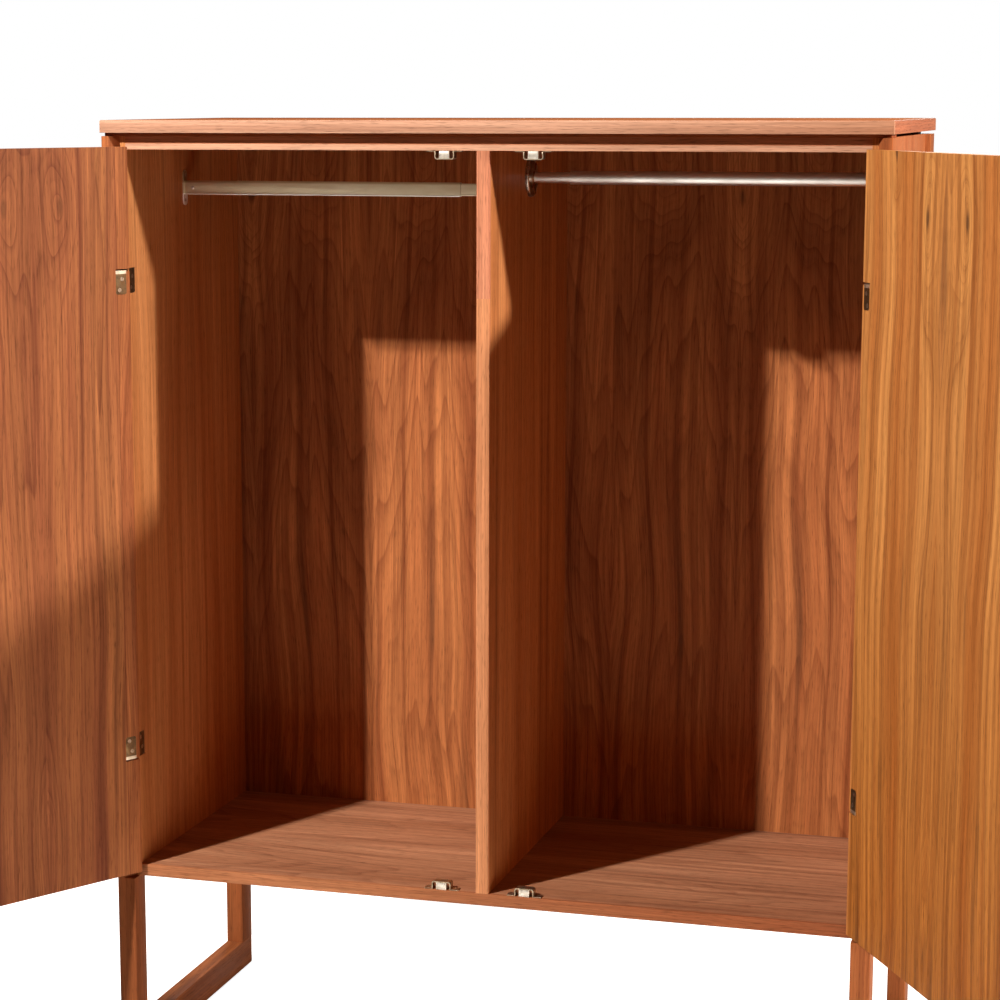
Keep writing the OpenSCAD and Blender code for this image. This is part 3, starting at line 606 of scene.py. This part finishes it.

# %% [markdown]
# ## The tones of each kind of wood
#
# A maker picks boards that go together, but no two are alike. Each palette below
# holds three tones of one wood: the pale ground, the middle ground and the dark
# of its lines; the spacers' palette is painted shade, as dark as the gap under the
# top. Solid strips have a plain straight figure, so they share a few cuts.
# The wide veneers get a cut each, because their figure is what one sees.

# %% Palettes
reddish = ((0.59, 0.220, 0.074), (0.350, 0.104, 0.043), (0.105, 0.021, 0.013))
rusty = ((0.62, 0.235, 0.080), (0.43, 0.140, 0.050), (0.17, 0.040, 0.017))
golden = ((0.69, 0.305, 0.087), (0.42, 0.143, 0.035), (0.15, 0.036, 0.008))
brown = ((0.76, 0.290, 0.096), (0.455, 0.139, 0.045), (0.15, 0.033, 0.012))
orange = ((0.61, 0.245, 0.084), (0.46, 0.154, 0.046), (0.19, 0.046, 0.012))
dusky = ((0.55, 0.258, 0.134), (0.38, 0.158, 0.076), (0.15, 0.044, 0.021))
pale = ((0.72, 0.41, 0.26), (0.54, 0.27, 0.16), (0.30, 0.10, 0.05))
buff = ((0.60, 0.34, 0.22), (0.45, 0.225, 0.135), (0.25, 0.083, 0.042))
umber = ((0.49, 0.20, 0.090), (0.37, 0.132, 0.055), (0.20, 0.056, 0.022))
tan = ((0.66, 0.28, 0.125), (0.50, 0.185, 0.075), (0.28, 0.08, 0.03))
# painted shade: the spacers are made as dark as the shadow gap under the top
painted_shade_tones = ((0.36, 0.090, 0.024), (0.24, 0.050, 0.013), (0.09, 0.014, 0.005))
russet = ((0.45, 0.160, 0.075), (0.31, 0.096, 0.045), (0.15, 0.038, 0.018))
rosy = ((0.60, 0.240, 0.125), (0.42, 0.145, 0.075), (0.22, 0.06, 0.03))
dark = ((0.39, 0.120, 0.038), (0.255, 0.070, 0.021), (0.09, 0.019, 0.008))
print("a palette has", len(reddish), "tones")

# %% Woods of the case, the top and the doors
UNDIVIDED = 4.0  # metres: a leaf so wide that no strip shows a joint
STRAIGHT_STRIP = dict(leaf=UNDIVIDED, heart=(0.3, 0.02), rings=200, contrast=0.45)
LEG_STOCK = dict(leaf=UNDIVIDED, heart=(0.2, 0.02), rings=180, contrast=0.6)
HINGE_STRIP = dict(leaf=UNDIVIDED, heart=(0.02, 0.22), rings=170, wave=0.10, contrast=0.8)
DOOR_LEAF = 0.29
DOOR_TURN = 120  # degrees from shut to open
STRIP_SEED = 13.0

wood = {
    "door_wood_left": wood_material(
        "door_left_veneer", UPRIGHT_WIDE_X, reddish, 11.0, turn=DOOR_TURN, leaf=DOOR_LEAF,
        heart=(0.075, 0.012), rings=62, wave=0.04, contrast=1.15, smoke=0.35, knots=0.5),
    "door_wood_right": wood_material(
        "door_right_veneer", UPRIGHT_WIDE_X, golden, 23.0, turn=-DOOR_TURN, leaf=DOOR_LEAF,
        heart=(0.14, 0.02), rings=75, wave=0.11, contrast=1.05, smoke=0.8, knots=1.0),
    "door_lipping_left": wood_material(
        "door_left_lipping", UPRIGHT_WIDE_X, rusty, STRIP_SEED, turn=DOOR_TURN, **HINGE_STRIP),
    "door_lipping_right": wood_material(
        "door_right_lipping", UPRIGHT_WIDE_X, golden, 29.0, turn=-DOOR_TURN,
        leaf=UNDIVIDED, heart=(0.3, 0.02), rings=180, contrast=0.5),
    "side_wood": wood_material(
        "side_veneer", UPRIGHT_WIDE_Y, orange, 31.0, leaf=0.155, heart=(0.25, 0.01), rings=52,
        wave=0.05, contrast=0.6, smoke=0.2),
    "back_wood": wood_material(
        "back_veneer", UPRIGHT_WIDE_X, brown, 43.0, leaf=0.21, heart=(0.05, 0.03), rings=90,
        wave=0.07, contrast=1.1, smoke=0.6, knots=0.8),
    "case_wood": wood_material(
        "case_veneer", LYING_ALONG_X, dusky, 53.0, leaf=0.24, heart=(0.08, 0.03), rings=120),
    "divider_wood": wood_material(
        "divider_veneer", UPRIGHT_WIDE_Y, orange, 37.0, leaf=0.155, heart=(0.22, 0.01), rings=90,
        smoke=0.3),
    "top_veneer": wood_material(
        "top_veneer", LYING_ALONG_X, reddish, 61.0, leaf=0.26, heart=(0.07, 0.03), rings=120,
        sheen=0.0),
    # the spacers take the painted-shade tones
    "spacer_wood": wood_material("spacer_wood", LYING_ALONG_X, painted_shade_tones, 77.0, **LEG_STOCK),
    "leg_wood": wood_material("leg_wood", UPRIGHT_WIDE_X, dark, 79.0, **LEG_STOCK),
    "runner_wood": wood_material("runner_wood", LYING_ALONG_Y, dark, 83.0, **LEG_STOCK),
    "upper_lipping": wood_material(
        "upper_lipping_wood", UPRIGHT_WIDE_X, rosy, 74.0, leaf=UNDIVIDED, heart=(0.3, 0.02),
        rings=200, contrast=0.6),
}
for name, title, axes, palette, seed in (
    ("top_edging", "edging_wood", LYING_ALONG_X, buff, 67.0),
    ("end_edging", "end_edging_wood", LYING_ALONG_Y, russet, 69.0),
    ("case_lipping", "lipping_wood", LYING_ALONG_X, pale, 71.0),
    ("lower_lipping", "lower_lipping_wood", LYING_ALONG_X, umber, 75.0),
    ("upright_lipping", "upright_lipping_wood", UPRIGHT_WIDE_X, tan, 73.0),
):
    wood[name] = wood_material(title, axes, palette, seed, **STRAIGHT_STRIP)
print("wood materials:", len(wood))

# %% [markdown]
# ## Where the colour changes along a piece, partly as painted shade
#
# Some tints along a piece are painted shade: the outer face of the right side is
# darker than its inner one, and the case top's lipping is darker above its lower
# part, as in the shadow of the top. Others only make a piece darker towards one
# end: the right door towards its foot, the top's edging and the bottom's lipping
# towards their right-hand ends. Each such place could be its own material, but
# then a hard border shows. Here one coordinate of the piece is stretched to a
# share, and that share lays a tint over the colour that the material has so far.
# A very short stretch gives a border where one is wanted: between the outer and
# the inner face of the right side, or above the lower part of a lipping.
#
# The left door has a wide strip of solid wood on its hinge side. Its lipping is
# the outer part, and the same strip goes on over the panel as far as a glue line.

# %% Tints along a piece, and the strip on the left door
STRIP_EDGE = 0.295       # x of the panel's hinge edge once the door is turned back, in metres
STRIP_WIDTH = 0.015
GLUE_EDGE = 0.0003       # half the width over which the strip ends
GLUE_RIM, GLUE_CORE = 0.0014, 0.0005
GLUE_COVER = 0.55


def recolour(material, share, colour, mode="MIX"):
    """Lay another colour over what the material has so far."""
    tree = material.node_tree
    target = tree.nodes["Principled BSDF"].inputs["Base Color"]
    so_far = target.links[0].from_socket
    feed(tree, target, blend(tree, share, so_far, colour, mode=mode))


def tone_along(material, axis, start, end, tint, mode="MULTIPLY"):
    """Lay a tint that grows from start to end, in metres along one axis."""
    tree = material.node_tree
    place = own_axis(tree, own_place(tree), axis)
    recolour(material, ramp(tree, place, start, end), (*tint, 1), mode)


def edge_strip(material, turn, edge, width, palette, seed):
    """A strip of solid wood along one upright edge of a veneered board, with its glue line."""
    tree = material.node_tree
    place = own_place(tree, turn)
    solid = cut_from_trunk(tree, place, palette, seed, **HINGE_STRIP)
    away = calc(tree, "ABSOLUTE", calc(tree, "SUBTRACT", own_axis(tree, place, 0), edge))
    recolour(material, ramp(tree, away, width + GLUE_EDGE, width - GLUE_EDGE), solid["Colour"])
    from_glue = calc(tree, "ABSOLUTE", calc(tree, "SUBTRACT", away, width))
    glue = calc(tree, "MULTIPLY", ramp(tree, from_glue, GLUE_RIM, GLUE_CORE), GLUE_COVER)
    recolour(material, glue, (*palette[2], 1))


# the right door, darker towards its foot; painted shade on the outside of the right side; a painted
# shadow of the top on the upper part of the case top's lipping; then the right-hand ends of the
# top's edging and of the bottom's lipping, darker towards the right
tone_along(wood["door_wood_right"], axis=2, start=1.05, end=0.35, tint=(0.74, 0.60, 0.38))
# painted shade on the outer face of the right side
tone_along(wood["side_wood"], axis=0, start=0.5868, end=0.5878, tint=(0.66, 0.56, 0.62))
# painted shadow of the top over the upper part of the case top's lipping
tone_along(wood["case_lipping"], axis=2, start=1.4590, end=1.4605, tint=(0.80, 0.50, 0.34))
tone_along(wood["top_edging"], axis=0, start=0.05, end=0.62, tint=(0.70, 0.58, 0.50))
tone_along(wood["lower_lipping"], axis=0, start=-0.25, end=0.45, tint=(0.74, 0.60, 0.55))
edge_strip(wood["door_wood_left"], DOOR_TURN, STRIP_EDGE, STRIP_WIDTH, rusty, seed=STRIP_SEED)
print("the strip on the left door goes on for", STRIP_WIDTH, "m over the panel")

# %% [markdown]
# ## Metals and plastic
#
# Brass on old furniture is dull in the hollows and brighter where fingers touch;
# here its tones are also darkened as painted shade, since the hinge leaves sit in
# the doors' shadow.
# The rails are plain strip and plated tube. A scanned metal would be one way, but
# all of them can share one recipe: two noises, one broad for tarnish and one fine
# for handling marks, that move the colour and the roughness a little.

# %% Metal materials
MARKS_PER_TARNISH = 9    # handling marks are this much finer than the tarnish
MARK_SHARE = 0.5         # how much of the spread the marks add
MARK_STRENGTH, MARK_HEIGHT = 0.08, 0.0002
TARNISH_RANGE = (0.38, 0.68)
ALONG_THE_RAIL = (0.3, 1, 1)


def metal_material(name, tones, rough, spread, scale, stretch=(1, 1, 1)):
    """Metal with a bright and a dull tone; spread is how much rougher the dull spots are."""
    material, tree, shader = new_material(name)
    bright, dull = tones
    place = put(tree, "ShaderNodeMapping", {"Vector": own_place(tree), "Scale": stretch}).outputs[0]
    tarnish = put(tree, "ShaderNodeTexNoise", {"Vector": place, "Scale": scale, "Detail": 4.0})
    tarnish = ramp(tree, tarnish.outputs[0], *TARNISH_RANGE)
    marks = put(tree, "ShaderNodeTexNoise", {
        "Vector": place, "Scale": scale * MARKS_PER_TARNISH, "Detail": 3.0}).outputs[0]
    roughness = calc(tree, "MULTIPLY_ADD", tarnish, spread, rough)
    roughness = calc(tree, "ADD", roughness, calc(tree, "MULTIPLY", marks, spread * MARK_SHARE))
    bump = put(tree, "ShaderNodeBump", {
        "Height": marks, "Strength": MARK_STRENGTH, "Distance": MARK_HEIGHT})
    feed(tree, shader.inputs["Base Color"], blend(tree, tarnish, (*bright, 1), (*dull, 1)))
    feed(tree, shader.inputs["Roughness"], roughness)
    feed(tree, shader.inputs["Normal"], bump.outputs["Normal"])
    feed(tree, shader.inputs["Metallic"], 1.0)
    return material


# brass tones darkened beyond their tarnish as painted shade: the hinge leaves sit in the doors' shadow
brass_tarnish_and_shade = ((0.215, 0.130, 0.062), (0.10, 0.062, 0.034))
nickel = ((0.80, 0.72, 0.62), (0.50, 0.43, 0.34))
zinc = ((0.80, 0.70, 0.50), (0.62, 0.52, 0.35))
bright_chrome = ((0.88, 0.83, 0.78), (0.60, 0.54, 0.49))
tarnished = ((0.52, 0.43, 0.36), (0.26, 0.20, 0.16))
browned = ((0.50, 0.40, 0.28), (0.24, 0.18, 0.11))
worn_steel = ((0.62, 0.52, 0.40), (0.34, 0.26, 0.17))

metal = {
    "brass": metal_material("satin_brass", brass_tarnish_and_shade, rough=0.30, spread=0.22, scale=90),
    "leaf_brass": metal_material("leaf_brass", brass_tarnish_and_shade, rough=0.30, spread=0.22, scale=90),
    "plated_steel": metal_material("nickel_plate", nickel, rough=0.22, spread=0.20, scale=120),
    "rail_steel": metal_material("zinc_strip", zinc, rough=0.40, spread=0.16, scale=30,
                                 stretch=ALONG_THE_RAIL),
    "chrome": metal_material("chrome_plate", bright_chrome, rough=0.32, spread=0.12, scale=40,
                             stretch=ALONG_THE_RAIL),
    "flange": metal_material("tarnished_chrome", tarnished, rough=0.20, spread=0.15, scale=60),
    "housing": metal_material("browned_plate", browned, rough=0.26, spread=0.2, scale=150),
    "screw": metal_material("worn_screw_heads", worn_steel, rough=0.24, spread=0.2, scale=300),
}
print("metals:", sorted(metal))

# %% [markdown]
# ## Painted shade and highlights on the metals, and the glides
#
# The flat rail gets painted shade along its upper edge and a painted highlight
# along its lower one. The door leaves of the hinges get a painted highlight in a
# band at their far ends, where they bend. Both could be painted by hand. A height
# that is stretched to a share does it for every copy at once. The glides are
# moulded plastic with a fine unevenness in their roughness.

# %% Painted shade, painted highlights and glides
LEAF_MIDDLE, LEAF_REACH = 0.885, 0.382  # height of the doors' middle, and from there to a leaf's end
HIGHLIGHT_BAND, HIGHLIGHT_FULL = 0.004, 0.8   # metres, and the share of them that is fully bright
HIGHLIGHT_TONE = (0.66, 0.54, 0.40)
IVORY = (0.85, 0.84, 0.80)
GRIT_SCALE, GRIT_DETAIL = 400.0, 3.0
GRIT_RANGE = (-0.6, 1.4)  # wide, so that the roughness stays near the middle


def paint_leaf_highlight(material, middle, reach, band, colour):
    """Paint a highlight in a band at both far ends of a piece, measured in height."""
    tree = material.node_tree
    height = own_axis(tree, own_place(tree), 2)
    away = calc(tree, "ABSOLUTE", calc(tree, "SUBTRACT", height, middle))
    highlight_share = ramp(tree, away, reach - band, reach - band * HIGHLIGHT_FULL)
    recolour(material, highlight_share, (*colour, 1))


# painted shade along the upper edge of the flat rail, and a painted highlight along its lower one
tone_along(metal["rail_steel"], axis=2, start=1.3925, end=1.3955, tint=(0.62, 0.50, 0.38))
tone_along(metal["rail_steel"], axis=2, start=1.3775, end=1.3765, tint=(1.0, 0.98, 0.92), mode="MIX")
# a painted highlight at the bends of the hinges' door leaves
paint_leaf_highlight(metal["leaf_brass"], LEAF_MIDDLE, LEAF_REACH, HIGHLIGHT_BAND, HIGHLIGHT_TONE)

glide_plastic = plain_material("glide_plastic", IVORY, roughness=0.5)
plastic = glide_plastic.node_tree
grit = put(plastic, "ShaderNodeTexNoise", {"Scale": GRIT_SCALE, "Detail": GRIT_DETAIL}).outputs[0]
feed(plastic, plastic.nodes["Principled BSDF"].inputs["Roughness"], ramp(plastic, grit, *GRIT_RANGE))
print("glides:", glide_plastic.name)

# %% [markdown]
# ## Dressed copies of the boards
#
# A board from the CAD side has knife-sharp edges, and sharp edges never catch the
# light. A bevel modifier would round every edge, also the ones where two boards
# are glued flush and no groove shows. So each board is copied, its loose
# triangles are merged, and only long free edges are eased. An edge that lies on a
# neighbour is found with a search tree and left alone.

# %% Merged copies with eased edges
SAME_SPOT = 2e-6         # metres, as TOUCHING is
TOUCHING = 3e-5
FLAT = math.radians(0.4)
SHARP = math.radians(35)
CREASE = math.radians(26)
LONG_EDGE = 0.012
EASE_STEPS = 2


def merged_form(name):
    """A node's triangles as one closed form with flat faces made whole."""
    form = bmesh.new()
    form.from_mesh(nodes[name].data)
    bmesh.ops.remove_doubles(form, verts=form.verts, dist=SAME_SPOT)
    bmesh.ops.dissolve_limit(form, angle_limit=FLAT, verts=form.verts, edges=form.edges)
    return form


def ease_edges(form, width, shortest, near):
    """Round the long sharp edges that lie free of every neighbour."""
    free = []
    for edge in form.edges:
        if not edge.is_manifold or edge.calc_length() < shortest or not edge.is_convex:
            continue
        if edge.calc_face_angle() < SHARP:
            continue
        middle = (edge.verts[0].co + edge.verts[1].co) / 2
        if not any(tree.find_nearest(middle, TOUCHING)[0] for tree in near):
            free.append(edge)
    bmesh.ops.bevel(form, geom=free, offset=width, offset_type="OFFSET", segments=EASE_STEPS,
                    profile=0.5, affect="EDGES", clamp_overlap=True)


def stand_in(piece, name):
    """Let a finished piece stand for a node and ride where the node rides."""
    bpy.context.scene.collection.objects.link(piece)
    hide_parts(name)
    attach(piece, body_of[name])


def dress(name, material, width=0.0, shortest=LONG_EDGE, near=()):
    """Make the eased copy that stands for a node."""
    form = merged_form(name)
    if width:
        ease_edges(form, width, shortest, near)
    for face in form.faces:
        face.smooth = True
    for edge in form.edges:
        edge.smooth = edge.is_manifold and edge.calc_face_angle() < CREASE
    mesh = bpy.data.meshes.new(name + "_dressed")
    form.to_mesh(mesh)
    form.free()
    mesh.materials.append(material)
    stand_in(bpy.data.objects.new(name + "_dressed", mesh), name)


print("edges under", LONG_EDGE, "m stay sharp on wood")

# %% [markdown]
# ## Boards, legs and lippings
#
# The veneered boards keep their flat faces; their edges are only broken with fine
# paper. The solid legs, runners and edgings get a softer arris, which is what
# draws the thin bright lines along the top and down the front posts. Each piece
# could be given its wood by hand. A short table of name beginnings does it, and
# what isn't in the table takes the wood of its slot.

# %% Dress the wooden pieces
WOODEN = [name for name in nodes if "wood" in slot_of[name]
          or slot_of[name].endswith(("veneer", "edging", "lipping"))]
WOOD_BY_NAME = (
    ("door_panel_left", "door_wood_left"), ("door_panel_right", "door_wood_right"),
    ("top_edging_left", "end_edging"), ("top_edging_right", "end_edging"),
    ("divider_lipping_upper", "upper_lipping"), ("divider_lipping", "upright_lipping"),
    ("divider", "divider_wood"), ("spacer", "spacer_wood"), ("runner", "runner_wood"),
    ("case_bottom_lipping", "lower_lipping"), ("front_leg", "leg_wood"), ("rear_leg", "leg_wood"),
)
ARRIS_LEG, ARRIS_LIPPING, ARRIS_EDGING, ARRIS_BOARD = 0.0012, 0.0005, 0.0004, 0.0003


def wood_for(name):
    """Choose the grain by what the board is and which way it lies."""
    for start, kind in WOOD_BY_NAME:
        if name.startswith(start):
            return wood[kind]
    if name.startswith("door"):
        return wood["door_lipping_" + name.rsplit("_", 1)[1]]
    return wood[slot_of[name]]


def softness(name):
    """How far the long edges of a wooden piece are eased."""
    if "leg" in name or name.startswith("runner"):
        return ARRIS_LEG
    if name.startswith("door") or "lipping" in name:
        return ARRIS_LIPPING
    if "edging" in name:
        return ARRIS_EDGING
    return ARRIS_BOARD


trees = {}
for name in WOODEN:
    form = merged_form(name)
    trees[name] = BVHTree.FromBMesh(form)
    form.free()
for name in WOODEN:
    neighbours = [tree for other, tree in trees.items() if other != name]
    dress(name, wood_for(name), softness(name), near=neighbours)
print("wooden pieces dressed:", len(WOODEN))

# %% [markdown]
# ## Metal pieces
#
# Hinge leaves, catches and rails are right in shape already. They could keep the
# frame's own mesh, but its sharp edges look cut out of paper. They get the same
# merged copy, with the sheet-metal edges broken by a tenth of a millimetre or so
# and the round parts shaded smooth.

# %% Dress the metal pieces
BROKEN_EDGE = 0.00015
SHORT_EDGE = 0.002
SCREWED = [name for name in nodes if name.endswith("screws") or "_screws_" in name]
METAL = [name for name in nodes if name not in WOODEN and name not in SCREWED and name != "glides"]
METAL_BY_NAME = (
    ("catch_housings", "housing"), ("round_rail_flange", "flange"), ("hinge_door_leaves", "leaf_brass"),
)


def metal_for(name):
    """A few fittings have a finish of their own, and the rest take that of their slot."""
    for start, kind in METAL_BY_NAME:
        if name.startswith(start):
            return metal[kind]
    return metal[slot_of[name]]


for name in METAL:
    dress(name, metal_for(name), BROKEN_EDGE, shortest=SHORT_EDGE)
dress("glides", glide_plastic)
print("metal pieces dressed:", len(METAL))

# %% [markdown]
# ## Slotted screws
#
# Every screw here is an old countersunk one with a single slot. One could model a
# screw and copy it by hand, but the frame already says where each head lies: the
# widest flat face of a CAD screw is its head. These faces become points, and a
# Geometry Nodes tree cuts a slot in one head and sets it on every point, turned
# by a seeded random angle, because nobody lines screw slots up. Sizes in the tree
# are shares of the head's radius, and each point brings its own radius.

# %% Geometry Nodes for one kind of screw
HEAD_SIDES = 28
HEAD_FOOT = 0.5          # the radius at the bottom of the head, as a share
SLOT_LENGTH = 2.6
SPIN_SEED = 5
SCREW_SIZES = {"Depth": 0.55, "Slot Width": 0.26, "Slot Depth": 0.22}


def slotted_head(tree, given):
    """One countersunk head with its face at height 0 and a slot across it."""
    head = put(tree, "GeometryNodeMeshCone", {
        "Vertices": HEAD_SIDES, "Radius Top": 1.0, "Radius Bottom": HEAD_FOOT, "Depth": given["Depth"],
    }, fill_type="NGON")
    sunk = put(tree, "ShaderNodeCombineXYZ", {2: calc(tree, "MULTIPLY", given["Depth"], -1.0)})
    lowered = put(tree, "GeometryNodeTransform", {
        "Geometry": head.outputs["Mesh"], "Translation": sunk.outputs[0]})
    # the cutter is centred on the face, so it is twice as deep as the slot
    twice = calc(tree, "MULTIPLY", given["Slot Depth"], 2.0)
    cutter_size = put(tree, "ShaderNodeCombineXYZ", {0: SLOT_LENGTH, 1: given["Slot Width"], 2: twice})
    cutter = put(tree, "GeometryNodeMeshCube", {"Size": cutter_size.outputs[0]})
    return put(tree, "GeometryNodeMeshBoolean", {
        "Mesh 1": lowered.outputs[0], "Mesh 2": cutter.outputs["Mesh"],
    }, operation="DIFFERENCE").outputs[0]


def head_rotation(tree):
    """Face the way the point says, then turn by a random angle."""
    facing = put(tree, "GeometryNodeInputNamedAttribute", {"Name": "facing"}, data_type="FLOAT_VECTOR")
    aim = put(tree, "FunctionNodeAlignRotationToVector", {"Vector": facing.outputs["Attribute"]},
              axis="Z")
    spin = put(tree, "FunctionNodeRandomValue", {"Seed": SPIN_SEED, 2: 0.0, 3: math.pi},
               data_type="FLOAT")
    about = put(tree, "ShaderNodeCombineXYZ", {2: spin.outputs[1]})
    return put(tree, "FunctionNodeRotateRotation", {
        "Rotation": aim.outputs[0], "Rotate By": about.outputs[0],
    }, rotation_space="LOCAL").outputs[0]


def screw_tree(material):
    """Set a slotted head on every point."""
    tree = bpy.data.node_groups.new("slotted_screws", "GeometryNodeTree")
    tree.interface.new_socket("Geometry", in_out="INPUT", socket_type="NodeSocketGeometry")
    for name, default in SCREW_SIZES.items():
        made = tree.interface.new_socket(name, in_out="INPUT", socket_type="NodeSocketFloat")
        made.default_value = default
    tree.interface.new_socket("Geometry", in_out="OUTPUT", socket_type="NodeSocketGeometry")
    given = tree.nodes.new("NodeGroupInput").outputs
    size = put(tree, "GeometryNodeInputNamedAttribute", {"Name": "size"}, data_type="FLOAT")
    points = put(tree, "GeometryNodeMeshToPoints", {"Mesh": given["Geometry"]})
    placed = put(tree, "GeometryNodeInstanceOnPoints", {
        "Points": points.outputs[0], "Instance": slotted_head(tree, given),
        "Rotation": head_rotation(tree), "Scale": size.outputs["Attribute"]})
    solid = put(tree, "GeometryNodeRealizeInstances", {"Geometry": placed.outputs[0]})
    painted = put(tree, "GeometryNodeSetMaterial", {"Geometry": solid.outputs[0], "Material": material})
    put(tree, "NodeGroupOutput", {0: painted.outputs[0]})
    return tree


screws_on_points = screw_tree(metal["screw"])
print("nodes in the screw tree:", len(screws_on_points.nodes))

# %% [markdown]
# ## Finding the heads
#
# The screws of one kind are a single node with several loose solids. Their places
# could be typed in, but then a change of the frame leaves them behind. Walking
# from face to face over shared edges collects one solid after another, and each
# solid's widest face gives a centre, a direction and a radius. The heads are
# sorted by place, so that every run turns the same screw by the same angle.

# %% Find the heads and set the screws
SUNK = 0.00002           # metres that a head's face lies under the CAD face
HEAD_SHARE = 0.97        # of the CAD head's radius, so that a fine gap shows round it
SAME_PLACE_DIGITS = 5


def loose_solids(form):
    """The faces of each separate solid in a form."""
    left = set(form.faces)
    solids = []
    while left:
        solid = [left.pop()]
        for face in solid:
            for edge in face.edges:
                for other in edge.link_faces:
                    if other in left:
                        left.remove(other)
                        solid.append(other)
        solids.append(solid)
    return solids


def screw_heads(name):
    """The centre, outward direction and radius of each screw head in a node."""
    form = merged_form(name)
    heads = []
    for solid in loose_solids(form):
        head = max(solid, key=lambda face: face.calc_area())
        radius = math.sqrt(head.calc_area() / math.pi)
        heads.append((head.calc_center_median(), head.normal.copy(), radius))
    form.free()
    return sorted(heads, key=lambda head: [round(value, SAME_PLACE_DIGITS) for value in head[0]])


def head_points(name, heads):
    """One point for each head, with its direction and its size."""
    mesh = bpy.data.meshes.new(name + "_points")
    mesh.from_pydata([centre - SUNK * out for centre, out, _ in heads], [], [])
    mesh.attributes.new("facing", "FLOAT_VECTOR", "POINT").data.foreach_set(
        "vector", [value for _, out, _ in heads for value in out])
    mesh.attributes.new("size", "FLOAT", "POINT").data.foreach_set(
        "value", [radius * HEAD_SHARE for _, _, radius in heads])
    points = bpy.data.objects.new(name + "_points", mesh)
    bpy.context.scene.collection.objects.link(points)
    return points


def slotted_screws(name, slot_width):
    """Replace the screws of a node by slotted ones, and say how many there are."""
    heads = screw_heads(name)
    points = head_points(name, heads)
    modifier = points.modifiers.new("screws", "NODES")
    modifier.node_group = screws_on_points
    for item in screws_on_points.interface.items_tree:
        if item.item_type == "SOCKET" and item.in_out == "INPUT" and item.name == "Slot Width":
            modifier[item.identifier] = slot_width
    evaluated = points.evaluated_get(bpy.context.evaluated_depsgraph_get())
    solid = bpy.data.meshes.new_from_object(evaluated)
    points.modifiers.remove(modifier)
    bpy.data.objects.remove(points)
    stand_in(bpy.data.objects.new(name + "_slotted", solid), name)
    return len(heads)


for name in SCREWED:
    print(name, slotted_screws(name, SCREW_SIZES["Slot Width"]), "screws")
